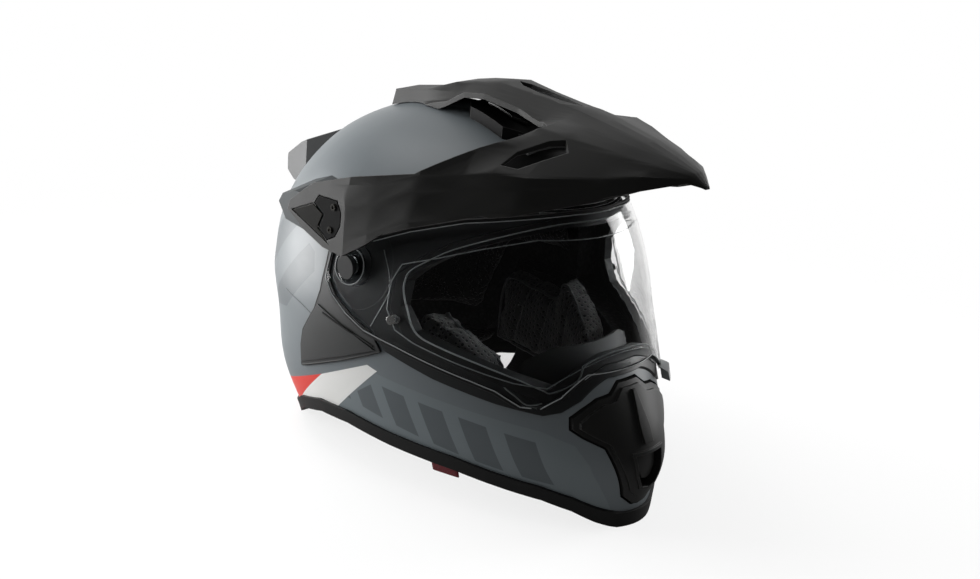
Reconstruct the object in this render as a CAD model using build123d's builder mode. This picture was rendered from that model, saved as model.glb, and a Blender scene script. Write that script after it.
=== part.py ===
from build123d import *
from functools import cache
from math import pi, sin
import os

# A dual sport helmet: a full-face shell with a long chin bar, a peak on two side arms and a
# clear face shield between them. Millimetres, +Z up, the wearer looks along -Y, and X = 0 is
# the mirror plane. The wearer's right side is -X. The helmet stands on Z = 0.

os.makedirs("parts", exist_ok=True)

# Overall form of the shell
shell_width = 252
shell_height = 262
chin_reach = 189
brow_reach = 138
rear_reach = 170
equator_height = 134
widest_back = 25
shell_length = chin_reach + rear_reach
through = 2 * shell_height
reach = 0.6 * shell_width

# Walls and layers, as depths under the outer surface
shell_wall = 4
layer_gap = 0.3
impact_depth = 26
comfort_wall = 10
cheek_foam_depth = 24
strap_space = 5
cheek_pad_wall = 24
pad_draft = 9
pad_plane_share = 0.72
channel_depth = 2.5
channel_width = 3
neck_roll_depth = 26
chin_liner_start = 8.5
chin_liner_wall = 10.5
deflector_wall = 2

# Rubber edges
trim_proud = 2.2
trim_inner = 2.5
trim_cover = 7.5
trim_lip = 3.5
gasket_proud = 1.6
gasket_inner = 3
gasket_cover = 4
gasket_lip = 3

# Plates on the outside of the shell
surround_proud = 1.4
cover_proud = 1.8
facet_proud = 2.8
panel_gap = 0.4
nose_proud = 1.2
nose_face_proud = 3
nose_reveal = 1.4
nose_flange_wall = 2.4
nose_flange_reach = 5
vent_mesh_wall = 1.2
slider_room = 0.8
nose_ridge_proud = 5.5
nose_rim_proud = 4.4
nose_rim_width = 2.2

# Face shield and its hinge
lens_gap = 4.4
lens_wall = 2.2
insert_wall = 1
insert_gap = 0.35
pivot_back_share = -0.0223
pivot_height_share = 0.611
pivot_surface_share = 0.9675
hub_radius = 7
hub_bore_play = 0.05
ring_radius = 12.5
ring_end = 7.6
ratchet_radius = 14
ratchet_proud = 1
recess_radius = 31
recess_floor = 0.5
cap_radius = 9
cap_wall = 1
cap_gap = 0.3
insert_pin_radius = 1.5
insert_pin_play = 0.1
insert_pin_head_radius = 3.2
insert_pin_head = 0.8

# Peak
arm_wall = 3
peak_wall = 3
peak_clearance = 0.8
arm_inner = shell_width / 2 + lens_gap + lens_wall
arm_outer = arm_inner + arm_wall
peak_pivot_back_share = 0.0501
peak_pivot_height_share = 0.729
peak_pin_radius = 7
peak_pin_play = 0.05
pocket_depth = 1.4
plate_wall = 1.3
lock_gap = 0.9
plate_lift = 0.1
mount_gap = 0.4
mount_taper = 12
screw_radius = 2.4
screw_head = 1

# Vents
crown_vent_proud = 8
crown_slider_wall = 1.6
spoiler_wall = 2.4
brow_base_wall = 0.8
brow_rib_proud = 3.4
brow_rib_height = 1.8
brow_rib_pitch = 3.6
brow_rib_count = 4
crown_mouth_floor = 1.6
crown_mouth_roof = 6.2

# Straps
strap_width = 24
strap_wall = 1.8
rivet_radius = 4
rivet_play = 0.5
rivet_head_radius = 7
rivet_head = 1.5
ring_wall = 3
ring_rim = 3.6
ring_span = 34
ring_corner = 5
ring_depth = 24
ring_gap = 0.4
ring_place_share = 0.33
loop_room = 0.7
tab_wall = 1.6

half_width = shell_width / 2
pivot_y = pivot_back_share * shell_length
pivot_z = pivot_height_share * shell_height
pivot_x = pivot_surface_share * half_width
peak_pivot_y = peak_pivot_back_share * shell_length
peak_pivot_z = peak_pivot_height_share * shell_height

# Horizontal sections of the chin and jaw: height as a share of the equator's, reach forward as
# a share of the chin's, reach back as a share of the rear's, half width, and the fullness of
# the front and rear corners
JAW_SHARES = (
    (-0.10, 0.893, 0.774, 0.76, 0.50, 0.60),
    (0.05, 0.985, 0.785, 0.82, 0.50, 0.60),
    (0.20, 0.995, 0.845, 0.875, 0.50, 0.60),
    (0.38, 1.000, 0.925, 0.93, 0.50, 0.59),
    (0.60, 0.925, 0.950, 0.97, 0.52, 0.57),
    (0.80, 0.840, 0.990, 0.993, 0.55, 0.56),
)
DOME_STEPS = 7
DOME_TOP_SHARE = 0.45
DOME_FRONT_POWER, DOME_SIDE_POWER, DOME_REAR_POWER = 2.33, 1.94, 1.96
DOME_FULLNESS_SHARE = 0.56

# The shield bulges away from the shell's form: from the fourth section up, how far its front
# moves back as a share of the chin's reach, and the fullness of its front corners
LENS_FIRST_ROW = 3
LENS_BULGE_SHARES = (
    (0.016, 0.50), (0.013, 0.52), (0.005, 0.55), (-0.050, 0.54), (-0.011, 0.54), (0.006, 0.55),
)

# Side views: (share of the shell's length, share of its height), Y then Z
BOTTOM_EDGE_SHARES = (
    (-0.557, 0.013), (-0.513, 0.013), (-0.490, 0.031), (-0.457, 0.061), (-0.412, 0.084),
    (-0.256, 0.118), (-0.111, 0.130), (0.000, 0.145), (0.084, 0.137), (0.167, 0.099),
    (0.234, 0.038), (0.284, 0.013), (0.501, 0.013),
)
ABOVE_EDGE_SHARES = ((0.60, 1.20), (-0.70, 1.20))
EYEPORT_SHARES = (
    (-0.128, 0.534), (-0.162, 0.469), (-0.245, 0.435), (-0.357, 0.385), (-0.396, 0.363),
    (-0.415, 0.393), (-0.421, 0.447), (-0.641, 0.450), (-0.641, 0.786), (-0.323, 0.786),
    (-0.267, 0.752), (-0.203, 0.706), (-0.156, 0.653), (-0.131, 0.611),
)
SHIELD_SHARES = (
    (0.031, 0.634), (0.033, 0.561), (0.011, 0.523), (-0.028, 0.485), (-0.075, 0.454),
    (-0.148, 0.435), (-0.295, 0.385), (-0.331, 0.370), (-0.373, 0.336), (-0.401, 0.336),
    (-0.421, 0.366), (-0.435, 0.420), (-0.669, 0.427), (-0.669, 0.817), (-0.329, 0.809),
    (-0.209, 0.775), (-0.125, 0.733), (-0.061, 0.691), (-0.006, 0.683), (0.022, 0.660),
)
INSERT_SHARES = (
    (-0.117, 0.603), (-0.117, 0.527), (-0.139, 0.477), (-0.178, 0.454), (-0.251, 0.427),
    (-0.351, 0.393), (-0.396, 0.385), (-0.418, 0.427), (-0.435, 0.458), (-0.669, 0.462),
    (-0.669, 0.748), (-0.312, 0.748), (-0.251, 0.718), (-0.184, 0.679), (-0.128, 0.649),
)
SIDE_COVER_SHARES = (
    (0.053, 0.664), (0.053, 0.592), (0.061, 0.511), (0.078, 0.450), (0.123, 0.366),
    (0.135, 0.313), (0.139, 0.248), (-0.008, 0.336), (-0.103, 0.399), (-0.081, 0.443),
    (-0.031, 0.475), (0.014, 0.513), (0.039, 0.555), (0.039, 0.664),
)
COVER_FACET_SHARES = (
    (0.064, 0.470), (0.118, 0.366), (0.130, 0.313), (0.133, 0.262), (-0.008, 0.346),
    (-0.092, 0.399), (-0.033, 0.427),
)
SURROUND_SHARES = (
    (0.032, 0.664), (0.032, 0.565), (0.010, 0.529), (-0.033, 0.490), (-0.086, 0.454),
    (-0.111, 0.405), (-0.214, 0.363), (-0.331, 0.328), (-0.401, 0.313), (-0.423, 0.324),
    (-0.437, 0.351), (-0.443, 0.401), (-0.641, 0.408), (-0.641, 0.874), (-0.312, 0.874),
    (-0.265, 0.855), (-0.167, 0.813), (-0.056, 0.748),
)
LINER_SHARES = (
    (-0.418, 0.832), (-0.284, 0.824), (-0.173, 0.771), (-0.095, 0.680), (-0.089, 0.466),
    (0.109, 0.450), (0.139, 0.237), (0.162, 0.187), (0.515, 0.187), (0.515, 1.050),
    (-0.418, 1.050),
)
CROWN_PAD_SHARES = (
    (-0.362, 0.860), (-0.256, 0.849), (-0.153, 0.785), (-0.075, 0.692), (-0.067, 0.534),
    (0.117, 0.504), (0.167, 0.298), (0.184, 0.237), (0.515, 0.237), (0.515, 1.050),
    (-0.362, 1.050),
)
CHEEK_FOAM_SHARES = (
    (0.097, 0.172), (0.097, 0.435), (-0.095, 0.431), (-0.123, 0.427), (-0.167, 0.412),
    (-0.245, 0.389), (-0.279, 0.366), (-0.279, 0.191), (-0.111, 0.168), (0.000, 0.179),
)
CHEEK_PAD_SHARES = (
    (0.095, 0.195), (0.095, 0.431), (-0.092, 0.439), (-0.111, 0.508), (-0.162, 0.485),
    (-0.258, 0.405), (-0.270, 0.344), (-0.265, 0.216), (-0.111, 0.188), (0.000, 0.195),
)
PAD_CHANNEL_SHARES = (
    ((0.035, 0.150), (-0.010, 0.500)), ((-0.055, 0.150), (-0.085, 0.500)),
    ((-0.140, 0.150), (-0.160, 0.500)),
)
NECK_ROLL_SHARES = (
    (0.164, 0.176), (0.164, 0.141), (0.201, 0.111), (0.265, 0.052), (0.312, 0.0431),
    (0.515, 0.0431), (0.515, 0.176),
)
CHIN_LINER_SHARES = (
    (-0.290, 0.176), (-0.290, 0.355), (-0.351, 0.336), (-0.396, 0.315), (-0.418, 0.340),
    (-0.429, 0.392), (-0.613, 0.392), (-0.613, 0.061), (-0.513, 0.060), (-0.462, 0.100),
    (-0.412, 0.130),
)
DEFLECTOR_SHARES = (
    (-0.600, 0.330), (-0.600, 0.470), (-0.340, 0.452), (-0.318, 0.420), (-0.306, 0.330),
)
BROW_VENT_SHARES = ((-0.420, 0.808), (-0.420, 0.868), (-0.296, 0.862), (-0.288, 0.808))
SPOILER_SHARES = (
    (0.330, 0.780), (0.330, 0.858), (0.440, 0.788), (0.512, 0.722), (0.508, 0.692),
    (0.468, 0.660), (0.418, 0.656),
)
ARM_SHARES = (
    (-0.348, 0.824), (-0.287, 0.828), (-0.178, 0.771), (-0.114, 0.733), (-0.081, 0.695),
    (-0.025, 0.645), (0.033, 0.649), (0.095, 0.676), (0.150, 0.716), (0.142, 0.744),
    (0.092, 0.794), (0.072, 0.813), (-0.028, 0.859), (-0.086, 0.878), (-0.156, 0.901),
    (-0.234, 0.981), (-0.262, 1.004), (-0.295, 1.046), (-0.348, 1.107),
)
PEAK_MOUNT_SHARES = (
    (0.031, 0.744), (0.036, 0.702), (0.067, 0.664), (0.167, 0.679), (0.192, 0.722),
    (0.180, 0.748), (0.140, 0.768), (0.078, 0.768),
)
LEVER_SHARES = (
    (0.131, 0.719), (0.070, 0.756), (0.039, 0.737), (0.054, 0.697), (0.028, 0.672),
)
LOCK_PLATE_SHARES = (
    (0.020, 0.676), (0.046, 0.698), (0.032, 0.740), (0.062, 0.762), (0.050, 0.784),
    (-0.004, 0.786), (-0.016, 0.760), (-0.016, 0.725), (-0.002, 0.692),
)
SCREW_PLACE_SHARES = ((0.004, 0.768), (0.012, 0.704))

# Front views: (share of the half width, share of the height), the right half
NOSE_SHARES = (
    (0.000, 0.385), (0.079, 0.385), (0.151, 0.359), (0.238, 0.351), (0.325, 0.328),
    (0.381, 0.309), (0.389, 0.282), (0.341, 0.263), (0.246, 0.237), (0.198, 0.176),
    (0.131, 0.094), (0.056, 0.065), (0.000, 0.062),
)
NOSE_FACE_SHARES = (
    (0.000, 0.374), (0.071, 0.374), (0.135, 0.347), (0.222, 0.340), (0.302, 0.321),
    (0.357, 0.300), (0.361, 0.286), (0.317, 0.271), (0.230, 0.246), (0.183, 0.183),
    (0.115, 0.113), (0.050, 0.088), (0.000, 0.084),
)
NOSE_SLOT_SHARES = (
    (0.000, 0.214), (0.110, 0.214), (0.094, 0.160), (0.056, 0.124), (0.000, 0.117),
)
NOSE_RIDGE_SHARES = (
    (0.000, 0.368), (0.012, 0.368), (0.040, 0.280), (0.036, 0.240), (0.000, 0.240),
)
NOSE_SLIDER_SHARES = (
    (0.000, 0.206), (0.076, 0.206), (0.064, 0.168), (0.036, 0.142), (0.000, 0.138),
)
BROW_VENT_HALF_SHARE = 0.36

# Plan views: (share of the half width, share of the length), X then Y, the right half
CROWN_VENT_SHARES = (
    (0.000, -0.173), (0.127, -0.173), (0.206, -0.128), (0.200, -0.033), (0.143, -0.011),
    (0.000, -0.011),
)
CROWN_MOUTH_SHARES = (
    (0.030, -0.190), (0.160, -0.190), (0.150, -0.120), (0.100, -0.105), (0.030, -0.105),
)
CROWN_SLIDER_SHARES = (
    (0.000, -0.150), (0.075, -0.150), (0.110, -0.120), (0.110, -0.050), (0.075, -0.034),
    (0.000, -0.034),
)
SPOILER_PLAN_SHARES = (
    (0.000, 0.318), (0.262, 0.318), (0.373, 0.418), (0.349, 0.496), (0.286, 0.529),
    (0.000, 0.529),
)
SPOILER_MOUTH_SHARES = (
    (0.000, 0.420), (0.290, 0.420), (0.300, 0.470), (0.285, 0.560), (0.000, 0.560),
)

# Peak sections from tail to tip: the share of the shell's length, then the edge, side crease,
# shoulder, spine foot, spine top and ridge as shares of the arm's half width and the height
PEAK_SECTION_SHARES = (
    (0.201, (1.000, 0.630), (1.000, 0.790), (0.966, 0.935), (0.203, 0.950), (0.173, 1.008),
     (0.000, 1.015)),
    (0.106, (1.000, 0.630), (1.000, 0.790), (0.966, 0.935), (0.210, 0.969), (0.184, 1.031),
     (0.000, 1.038)),
    (0.022, (1.000, 0.611), (1.000, 0.782), (0.959, 0.935), (0.221, 1.019), (0.166, 1.071),
     (0.000, 1.076)),
    (-0.028, (1.000, 0.630), (0.998, 0.782), (0.944, 0.943), (0.223, 1.057), (0.144, 1.084),
     (0.000, 1.090)),
    (-0.084, (0.984, 0.656), (0.961, 0.802), (0.900, 0.950), (0.221, 1.067), (0.118, 1.095),
     (0.000, 1.099)),
    (-0.167, (0.918, 0.756), (0.878, 0.859), (0.804, 0.969), (0.206, 1.052), (0.092, 1.082),
     (0.000, 1.086)),
    (-0.234, (0.826, 0.794), (0.745, 0.916), (0.605, 1.000), (0.206, 1.032), (0.081, 1.073),
     (0.000, 1.076)),
    (-0.287, (0.737, 0.821), (0.678, 0.935), (0.383, 1.034), (0.192, 1.048), (0.081, 1.067),
     (0.000, 1.071)),
    (-0.340, (0.664, 0.840), (0.601, 0.935), (0.339, 1.025), (0.177, 1.044), (0.077, 1.055),
     (0.000, 1.058)),
    (-0.440, (0.413, 0.893), (0.372, 0.950), (0.243, 1.000), (0.133, 1.019), (0.066, 1.027),
     (0.000, 1.030)),
    (-0.496, (0.265, 0.931), (0.240, 0.968), (0.162, 0.990), (0.096, 1.000), (0.055, 1.005),
     (0.000, 1.007)),
    (-0.549, (0.081, 0.958), (0.074, 0.969), (0.055, 0.976), (0.041, 0.979), (0.029, 0.981),
     (0.000, 0.982)),
    (-0.574, (0.018, 0.947), (0.016, 0.951), (0.013, 0.953), (0.010, 0.955), (0.007, 0.955),
     (0.000, 0.956)),
)
HOLLOW_BOTTOM_SHARE = 0.45
HOLLOW_REAR_SHARE = 0.188
SPINE_BAND_SHARES = (
    (0.206, 0.230), (0.215, 0.106), (0.227, 0.022), (0.229, -0.028), (0.227, -0.084),
    (0.212, -0.173), (0.229, -0.245), (0.347, -0.298), (0.590, -0.348),
)
SIDE_SLOT_SHARES = (
    (0.627, -0.287), (0.590, -0.318), (0.383, -0.365), (0.347, -0.345), (0.398, -0.322),
    (0.531, -0.291),
)
SPINE_OPENING_SHARES = (
    (0.000, -0.095), (0.037, -0.117), (0.048, -0.167), (0.037, -0.217), (0.000, -0.273),
)


def section_rows(inset):
    """Height, front, rear, half width and corner fullness of each section of the form."""
    for height, front, rear, half, front_full, rear_full in JAW_SHARES:
        yield (
            height * equator_height,
            -chin_reach * front + inset,
            rear_reach * rear - inset,
            half_width * half - inset,
            front_full,
            rear_full,
        )
    rise = shell_height - equator_height - inset
    for step in range(DOME_STEPS):
        turn = pi / 2 * step / (DOME_STEPS - DOME_TOP_SHARE)
        climb = sin(turn) ** (2 / DOME_SIDE_POWER)
        front, side, rear = (
            (1 - climb**power) ** (1 / power)
            for power in (DOME_FRONT_POWER, DOME_SIDE_POWER, DOME_REAR_POWER)
        )
        yield (
            equator_height + rise * climb,
            widest_back - (brow_reach + widest_back - inset) * front,
            widest_back + (rear_reach - widest_back - inset) * rear,
            (half_width - inset) * side,
            DOME_FULLNESS_SHARE,
            DOME_FULLNESS_SHARE,
        )


def lens_rows(inset):
    """The form's sections with the shield's fuller front."""
    rows = [list(row) for row in section_rows(inset)]
    for row, (back, fullness) in zip(rows[LENS_FIRST_ROW:], LENS_BULGE_SHARES):
        row[1] += back * chin_reach
        row[4] = fullness
    return rows


@cache
def form(inset=0, rows=section_rows):
    """The shell's solid form, drawn in by an inset, or grown by a negative one."""
    with BuildPart() as body:
        for height, front, rear, half, kf, kr in rows(inset):
            mid = widest_back
            front_handle = mid + kf * (front - mid)
            rear_handle = mid + kr * (rear - mid)
            with BuildSketch(Plane.XY.offset(height)):
                with BuildLine():
                    Bezier((0, front), (kf * half, front), (half, front_handle), (half, mid))
                    Bezier((half, mid), (half, rear_handle), (kr * half, rear), (0, rear))
                    Bezier((0, rear), (-kr * half, rear), (-half, rear_handle), (-half, mid))
                    Bezier((-half, mid), (-half, front_handle), (-kf * half, front), (0, front))
                make_face()
        loft()
    return body.part


@cache
def layer(outer, inner, rows=section_rows):
    """The skin between two depths under the shell's outer surface."""
    with BuildPart() as skin:
        add(form(outer, rows))
        add(form(inner, rows), mode=Mode.SUBTRACT)
    return skin.part


def side_points(shares, rise=0):
    return [(y * shell_length, z * shell_height + rise) for y, z in shares]


def polygon(plane, points, grow=0):
    """A closed outline on a plane, grown outwards all round by an amount."""
    with BuildSketch(plane) as face:
        with BuildLine():
            Polyline(*points, close=True)
        make_face()
        if grow:
            offset(amount=grow, kind=Kind.INTERSECTION)
    return face.sketch


def side_face(shares, grow=0):
    return polygon(Plane.YZ.offset(-reach), side_points(shares), grow)


def both_halves(shares, across, along):
    right = [(x * across, v * along) for x, v in shares]
    left = [(-x, v) for x, v in reversed(right) if x > 0]
    return right + left


def front_face(shares, grow=0):
    return polygon(Plane.XZ, both_halves(shares, half_width, shell_height), grow)


def plan_face(shares, across=half_width):
    return polygon(Plane.XY, both_halves(shares, across, shell_length))


def one_side(part, side):
    """The right (-1) or left (+1) half of a symmetric part."""
    with BuildPart() as half:
        add(part)
        split(bisect_by=Plane.YZ, keep=Keep.TOP if side > 0 else Keep.BOTTOM)
    return half.part


def across_plane(side, distance, y, z):
    """A plane square to X at a side place, facing outwards."""
    return Plane((side * distance, y, z), x_dir=(0, 1, 0), z_dir=(side, 0, 0))


def on_side(side, shares):
    """A side outline's points on the plane that across_plane gives for that side."""
    return [(y, z * side) for y, z in side_points(shares)]


def save(part, name):
    part.label = name
    export_step(part, f"parts/{name}.step")
    print(name, round(part.volume), len(part.solids()))


SIDES = ((-1, "right"), (1, "left"))
whole = form()
rivet_back_share, rivet_height_share = 0.028, 0.374
rivet_y = rivet_back_share * shell_length
rivet_z = rivet_height_share * shell_height
inside = form(shell_wall)

# Openings through the shell for air: two slots on the crown and two at the rear
vent_slot_width = 9
vent_slot_length = 26
crown_slot_back_share = -0.06
rear_slot_back_share = 0.42
slot_spacing = 34

# Outer shell
with BuildPart() as outer_shell:
    add(whole)
    add(inside, mode=Mode.SUBTRACT)
    extrude(side_face(BOTTOM_EDGE_SHARES + ABOVE_EDGE_SHARES), amount=2 * reach,
            mode=Mode.INTERSECT)
    extrude(side_face(EYEPORT_SHARES), amount=2 * reach, mode=Mode.SUBTRACT)
    extrude(front_face(NOSE_SHARES, nose_reveal), amount=through, mode=Mode.SUBTRACT)
    with BuildSketch(Plane.XY.offset(equator_height)) as air_slots:
        with Locations((0, crown_slot_back_share * shell_length)):
            with GridLocations(slot_spacing, 0, 2, 1):
                SlotOverall(vent_slot_length, vent_slot_width, rotation=90)
        with Locations((0, rear_slot_back_share * shell_length)):
            with GridLocations(slot_spacing, 0, 2, 1):
                SlotOverall(vent_slot_length, vent_slot_width, rotation=90)
    extrude(amount=through, mode=Mode.SUBTRACT)
save(outer_shell.part, "outer_shell")

# Impact foam for the crown and rear, with the shell's curve on both faces
with BuildPart() as impact_liner:
    add(layer(shell_wall + layer_gap, impact_depth))
    extrude(side_face(LINER_SHARES), amount=2 * reach, mode=Mode.INTERSECT)
save(impact_liner.part, "impact_liner")

# Comfort lining inside the crown foam
with BuildPart() as comfort_liner:
    add(layer(impact_depth + layer_gap, impact_depth + layer_gap + comfort_wall))
    extrude(side_face(CROWN_PAD_SHARES), amount=2 * reach, mode=Mode.INTERSECT)
save(comfort_liner.part, "comfort_liner")

# Cheek foam and cheek pads, with room between them for the strap
with BuildPart() as cheek_foam:
    add(layer(shell_wall + layer_gap, cheek_foam_depth))
    extrude(side_face(CHEEK_FOAM_SHARES), amount=2 * reach, mode=Mode.INTERSECT)
pad_start = cheek_foam_depth + strap_space
pad_end = pad_start + cheek_pad_wall
pad_plane = pad_plane_share * half_width
with BuildPart() as pad_channels:
    for (low_y, low_z), (high_y, high_z) in PAD_CHANNEL_SHARES:
        low, high = side_points(((low_y, low_z), (high_y, high_z)))
        strip = ((low[0], low[1]), (low[0] + channel_width, low[1]),
                 (high[0] + channel_width, high[1]), (high[0], high[1]))
        extrude(polygon(Plane.YZ.offset(-reach), strip), amount=2 * reach)
    add(form(pad_end - channel_depth), mode=Mode.INTERSECT)
for side, hand in SIDES:
    with BuildPart() as foam:
        add(one_side(cheek_foam.part, side))
        with BuildSketch(across_plane(side, 0, rivet_y, rivet_z)):
            Circle(rivet_radius + rivet_play)
        extrude(amount=through, mode=Mode.SUBTRACT)
    save(foam.part, f"cheek_foam_{hand}")
    with BuildPart() as cheek_pad:
        with BuildSketch(across_plane(side, pad_plane, 0, 0)) as pad_outline:
            with BuildLine():
                Polyline(*on_side(side, CHEEK_PAD_SHARES), close=True)
            make_face()
        extrude(pad_outline.sketch, amount=half_width)
        extrude(pad_outline.sketch, amount=-pad_plane, taper=pad_draft)
        add(layer(pad_start, pad_end), mode=Mode.INTERSECT)
        add(pad_channels.part, mode=Mode.SUBTRACT)
    save(cheek_pad.part, f"cheek_pad_{hand}")

# Neck roll round the rear of the head opening
with BuildPart() as neck_roll:
    add(layer(shell_wall + trim_inner + layer_gap, neck_roll_depth))
    extrude(side_face(NECK_ROLL_SHARES), amount=2 * reach, mode=Mode.INTERSECT)
save(neck_roll.part, "neck_roll")

# Chin foam behind the chin vent, and the breath deflector above it
chin_liner_end = chin_liner_start + chin_liner_wall
with BuildPart() as chin_liner:
    add(layer(chin_liner_start, chin_liner_end))
    extrude(side_face(CHIN_LINER_SHARES), amount=2 * reach, mode=Mode.INTERSECT)
save(chin_liner.part, "chin_liner")
with BuildPart() as breath_deflector:
    add(layer(chin_liner_end + layer_gap, chin_liner_end + layer_gap + deflector_wall))
    extrude(side_face(DEFLECTOR_SHARES), amount=2 * reach, mode=Mode.INTERSECT)
save(breath_deflector.part, "breath_deflector")

# Rubber gasket round the eyeport and rubber trim round the bottom edge
with BuildPart() as eyeport_gasket:
    add(layer(-gasket_proud, shell_wall + gasket_inner))
    extrude(side_face(EYEPORT_SHARES, gasket_cover), amount=2 * reach, mode=Mode.INTERSECT)
    extrude(side_face(EYEPORT_SHARES, -gasket_lip), amount=2 * reach, mode=Mode.SUBTRACT)
    add(outer_shell.part, mode=Mode.SUBTRACT)
save(eyeport_gasket.part, "eyeport_gasket")
trim_band = side_points(BOTTOM_EDGE_SHARES, -trim_lip)
trim_band += side_points(reversed(BOTTOM_EDGE_SHARES), trim_cover)
with BuildPart() as edge_trim:
    add(layer(-trim_proud, shell_wall + trim_inner))
    extrude(polygon(Plane.YZ.offset(-reach), trim_band), amount=2 * reach, mode=Mode.INTERSECT)
    add(outer_shell.part, mode=Mode.SUBTRACT)
save(edge_trim.part, "edge_trim")

# Black surround of the eyeport, and the faceted covers behind it
with BuildPart() as eyeport_surround:
    add(layer(-surround_proud, 0))
    extrude(side_face(SURROUND_SHARES), amount=2 * reach, mode=Mode.INTERSECT)
    extrude(side_face(EYEPORT_SHARES, gasket_cover + panel_gap), amount=2 * reach, mode=Mode.SUBTRACT)
    with BuildPart(mode=Mode.PRIVATE) as recess:
        add(layer(-surround_proud, -recess_floor))
        with BuildSketch(Plane.YZ.offset(-reach)):
            with Locations((pivot_y, pivot_z)):
                Circle(recess_radius)
        extrude(amount=2 * reach, mode=Mode.INTERSECT)
    add(recess.part, mode=Mode.SUBTRACT)
    with BuildSketch(Plane.YZ.offset(-reach)):
        with Locations((pivot_y, pivot_z)):
            Circle(ratchet_radius + panel_gap)
    extrude(amount=2 * reach, mode=Mode.SUBTRACT)
save(eyeport_surround.part, "eyeport_surround")
with BuildPart() as side_covers:
    add(layer(-cover_proud, 0))
    extrude(side_face(SIDE_COVER_SHARES), amount=2 * reach, mode=Mode.INTERSECT)
with BuildPart() as cover_facets:
    add(layer(-facet_proud, -cover_proud))
    extrude(side_face(COVER_FACET_SHARES), amount=2 * reach, mode=Mode.INTERSECT)
for side, hand in SIDES:
    with BuildPart() as side_cover:
        add(one_side(side_covers.part, side))
        add(one_side(cover_facets.part, side))
    save(side_cover.part, f"side_cover_{hand}")

# Chin vent: a frame clipped into the chin bar from inside, its mesh and its slider
flange_start = shell_wall + layer_gap
flange_end = flange_start + nose_flange_wall
with BuildPart() as chin_vent_frame:
    add(layer(-nose_proud, flange_end))
    extrude(front_face(NOSE_SHARES), amount=through, mode=Mode.INTERSECT)
    with BuildPart(mode=Mode.PRIVATE) as nose_face:
        add(layer(-nose_face_proud, 0))
        extrude(front_face(NOSE_FACE_SHARES), amount=through, mode=Mode.INTERSECT)
    add(nose_face.part)
    with BuildPart(mode=Mode.PRIVATE) as nose_flange:
        add(layer(flange_start, flange_end))
        extrude(front_face(NOSE_SHARES, nose_flange_reach), amount=through,
                mode=Mode.INTERSECT)
    add(nose_flange.part)
    with BuildPart(mode=Mode.PRIVATE) as nose_ridge:
        add(layer(-nose_ridge_proud, 0))
        extrude(front_face(NOSE_RIDGE_SHARES), amount=through, mode=Mode.INTERSECT)
    add(nose_ridge.part)
    with BuildPart(mode=Mode.PRIVATE) as nose_rim:
        add(layer(-nose_rim_proud, 0))
        extrude(front_face(NOSE_SLOT_SHARES, nose_rim_width), amount=through, mode=Mode.INTERSECT)
    add(nose_rim.part)
    extrude(front_face(NOSE_SLOT_SHARES), amount=through, mode=Mode.SUBTRACT)
    add(eyeport_gasket.part, mode=Mode.SUBTRACT)
    extrude(polygon(Plane.YZ.offset(-reach), trim_band, panel_gap), amount=2 * reach,
            mode=Mode.SUBTRACT)
save(chin_vent_frame.part, "chin_vent_frame")
with BuildPart() as chin_vent_mesh:
    add(layer(flange_end + layer_gap, flange_end + layer_gap + vent_mesh_wall))
    extrude(front_face(NOSE_SLOT_SHARES, nose_flange_reach), amount=through,
            mode=Mode.INTERSECT)
save(chin_vent_mesh.part, "chin_vent_mesh")
with BuildPart() as chin_vent_slider:
    add(layer(0, flange_end - slider_room))
    extrude(front_face(NOSE_SLIDER_SHARES), amount=through, mode=Mode.INTERSECT)
save(chin_vent_slider.part, "chin_vent_slider")

# Brow vent above the eyeport: level ribs on a thin base that lies on the surround
brow_half = BROW_VENT_HALF_SHARE * half_width
brow_middle_y = (BROW_VENT_SHARES[0][0] + BROW_VENT_SHARES[3][0]) / 2 * shell_length
brow_length = (BROW_VENT_SHARES[3][0] - BROW_VENT_SHARES[0][0]) * shell_length
brow_low = BROW_VENT_SHARES[0][1] * shell_height + brow_rib_height
with BuildPart() as brow_vent:
    add(layer(-surround_proud - brow_base_wall, -surround_proud))
    extrude(side_face(BROW_VENT_SHARES), amount=2 * reach, mode=Mode.INTERSECT)
    with BuildPart(mode=Mode.PRIVATE) as brow_ribs:
        for count in range(brow_rib_count):
            with BuildSketch(Plane.YZ.offset(-reach)):
                with Locations((brow_middle_y, brow_low + count * brow_rib_pitch)):
                    Rectangle(brow_length, brow_rib_height)
            extrude(amount=2 * reach)
        add(layer(-brow_rib_proud, -surround_proud), mode=Mode.INTERSECT)
    add(brow_ribs.part)
    with BuildSketch(Plane.XZ):
        Rectangle(2 * brow_half, 2 * through)
    extrude(amount=through, mode=Mode.INTERSECT)
save(brow_vent.part, "brow_vent")

# Crown vent housing under the peak's spine, and its slider
with BuildPart() as crown_vent_housing:
    add(layer(-crown_vent_proud, 0))
    extrude(plan_face(CROWN_VENT_SHARES), amount=through, mode=Mode.INTERSECT)
    with BuildPart(mode=Mode.PRIVATE) as crown_mouths:
        add(layer(-crown_mouth_roof, -crown_mouth_floor))
        with BuildSketch(Plane.XY) as mouth_plan:
            for side in (-1, 1):
                with BuildLine():
                    Polyline(*((side * x * half_width, y * shell_length)
                               for x, y in CROWN_MOUTH_SHARES), close=True)
                make_face()
        extrude(amount=through, mode=Mode.INTERSECT)
    add(crown_mouths.part, mode=Mode.SUBTRACT)
save(crown_vent_housing.part, "crown_vent_housing")
slider_seat = crown_vent_proud + 2 * layer_gap
with BuildPart() as crown_vent_slider:
    add(layer(-slider_seat - crown_slider_wall, -slider_seat))
    extrude(plan_face(CROWN_SLIDER_SHARES), amount=through, mode=Mode.INTERSECT)
save(crown_vent_slider.part, "crown_vent_slider")

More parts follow.
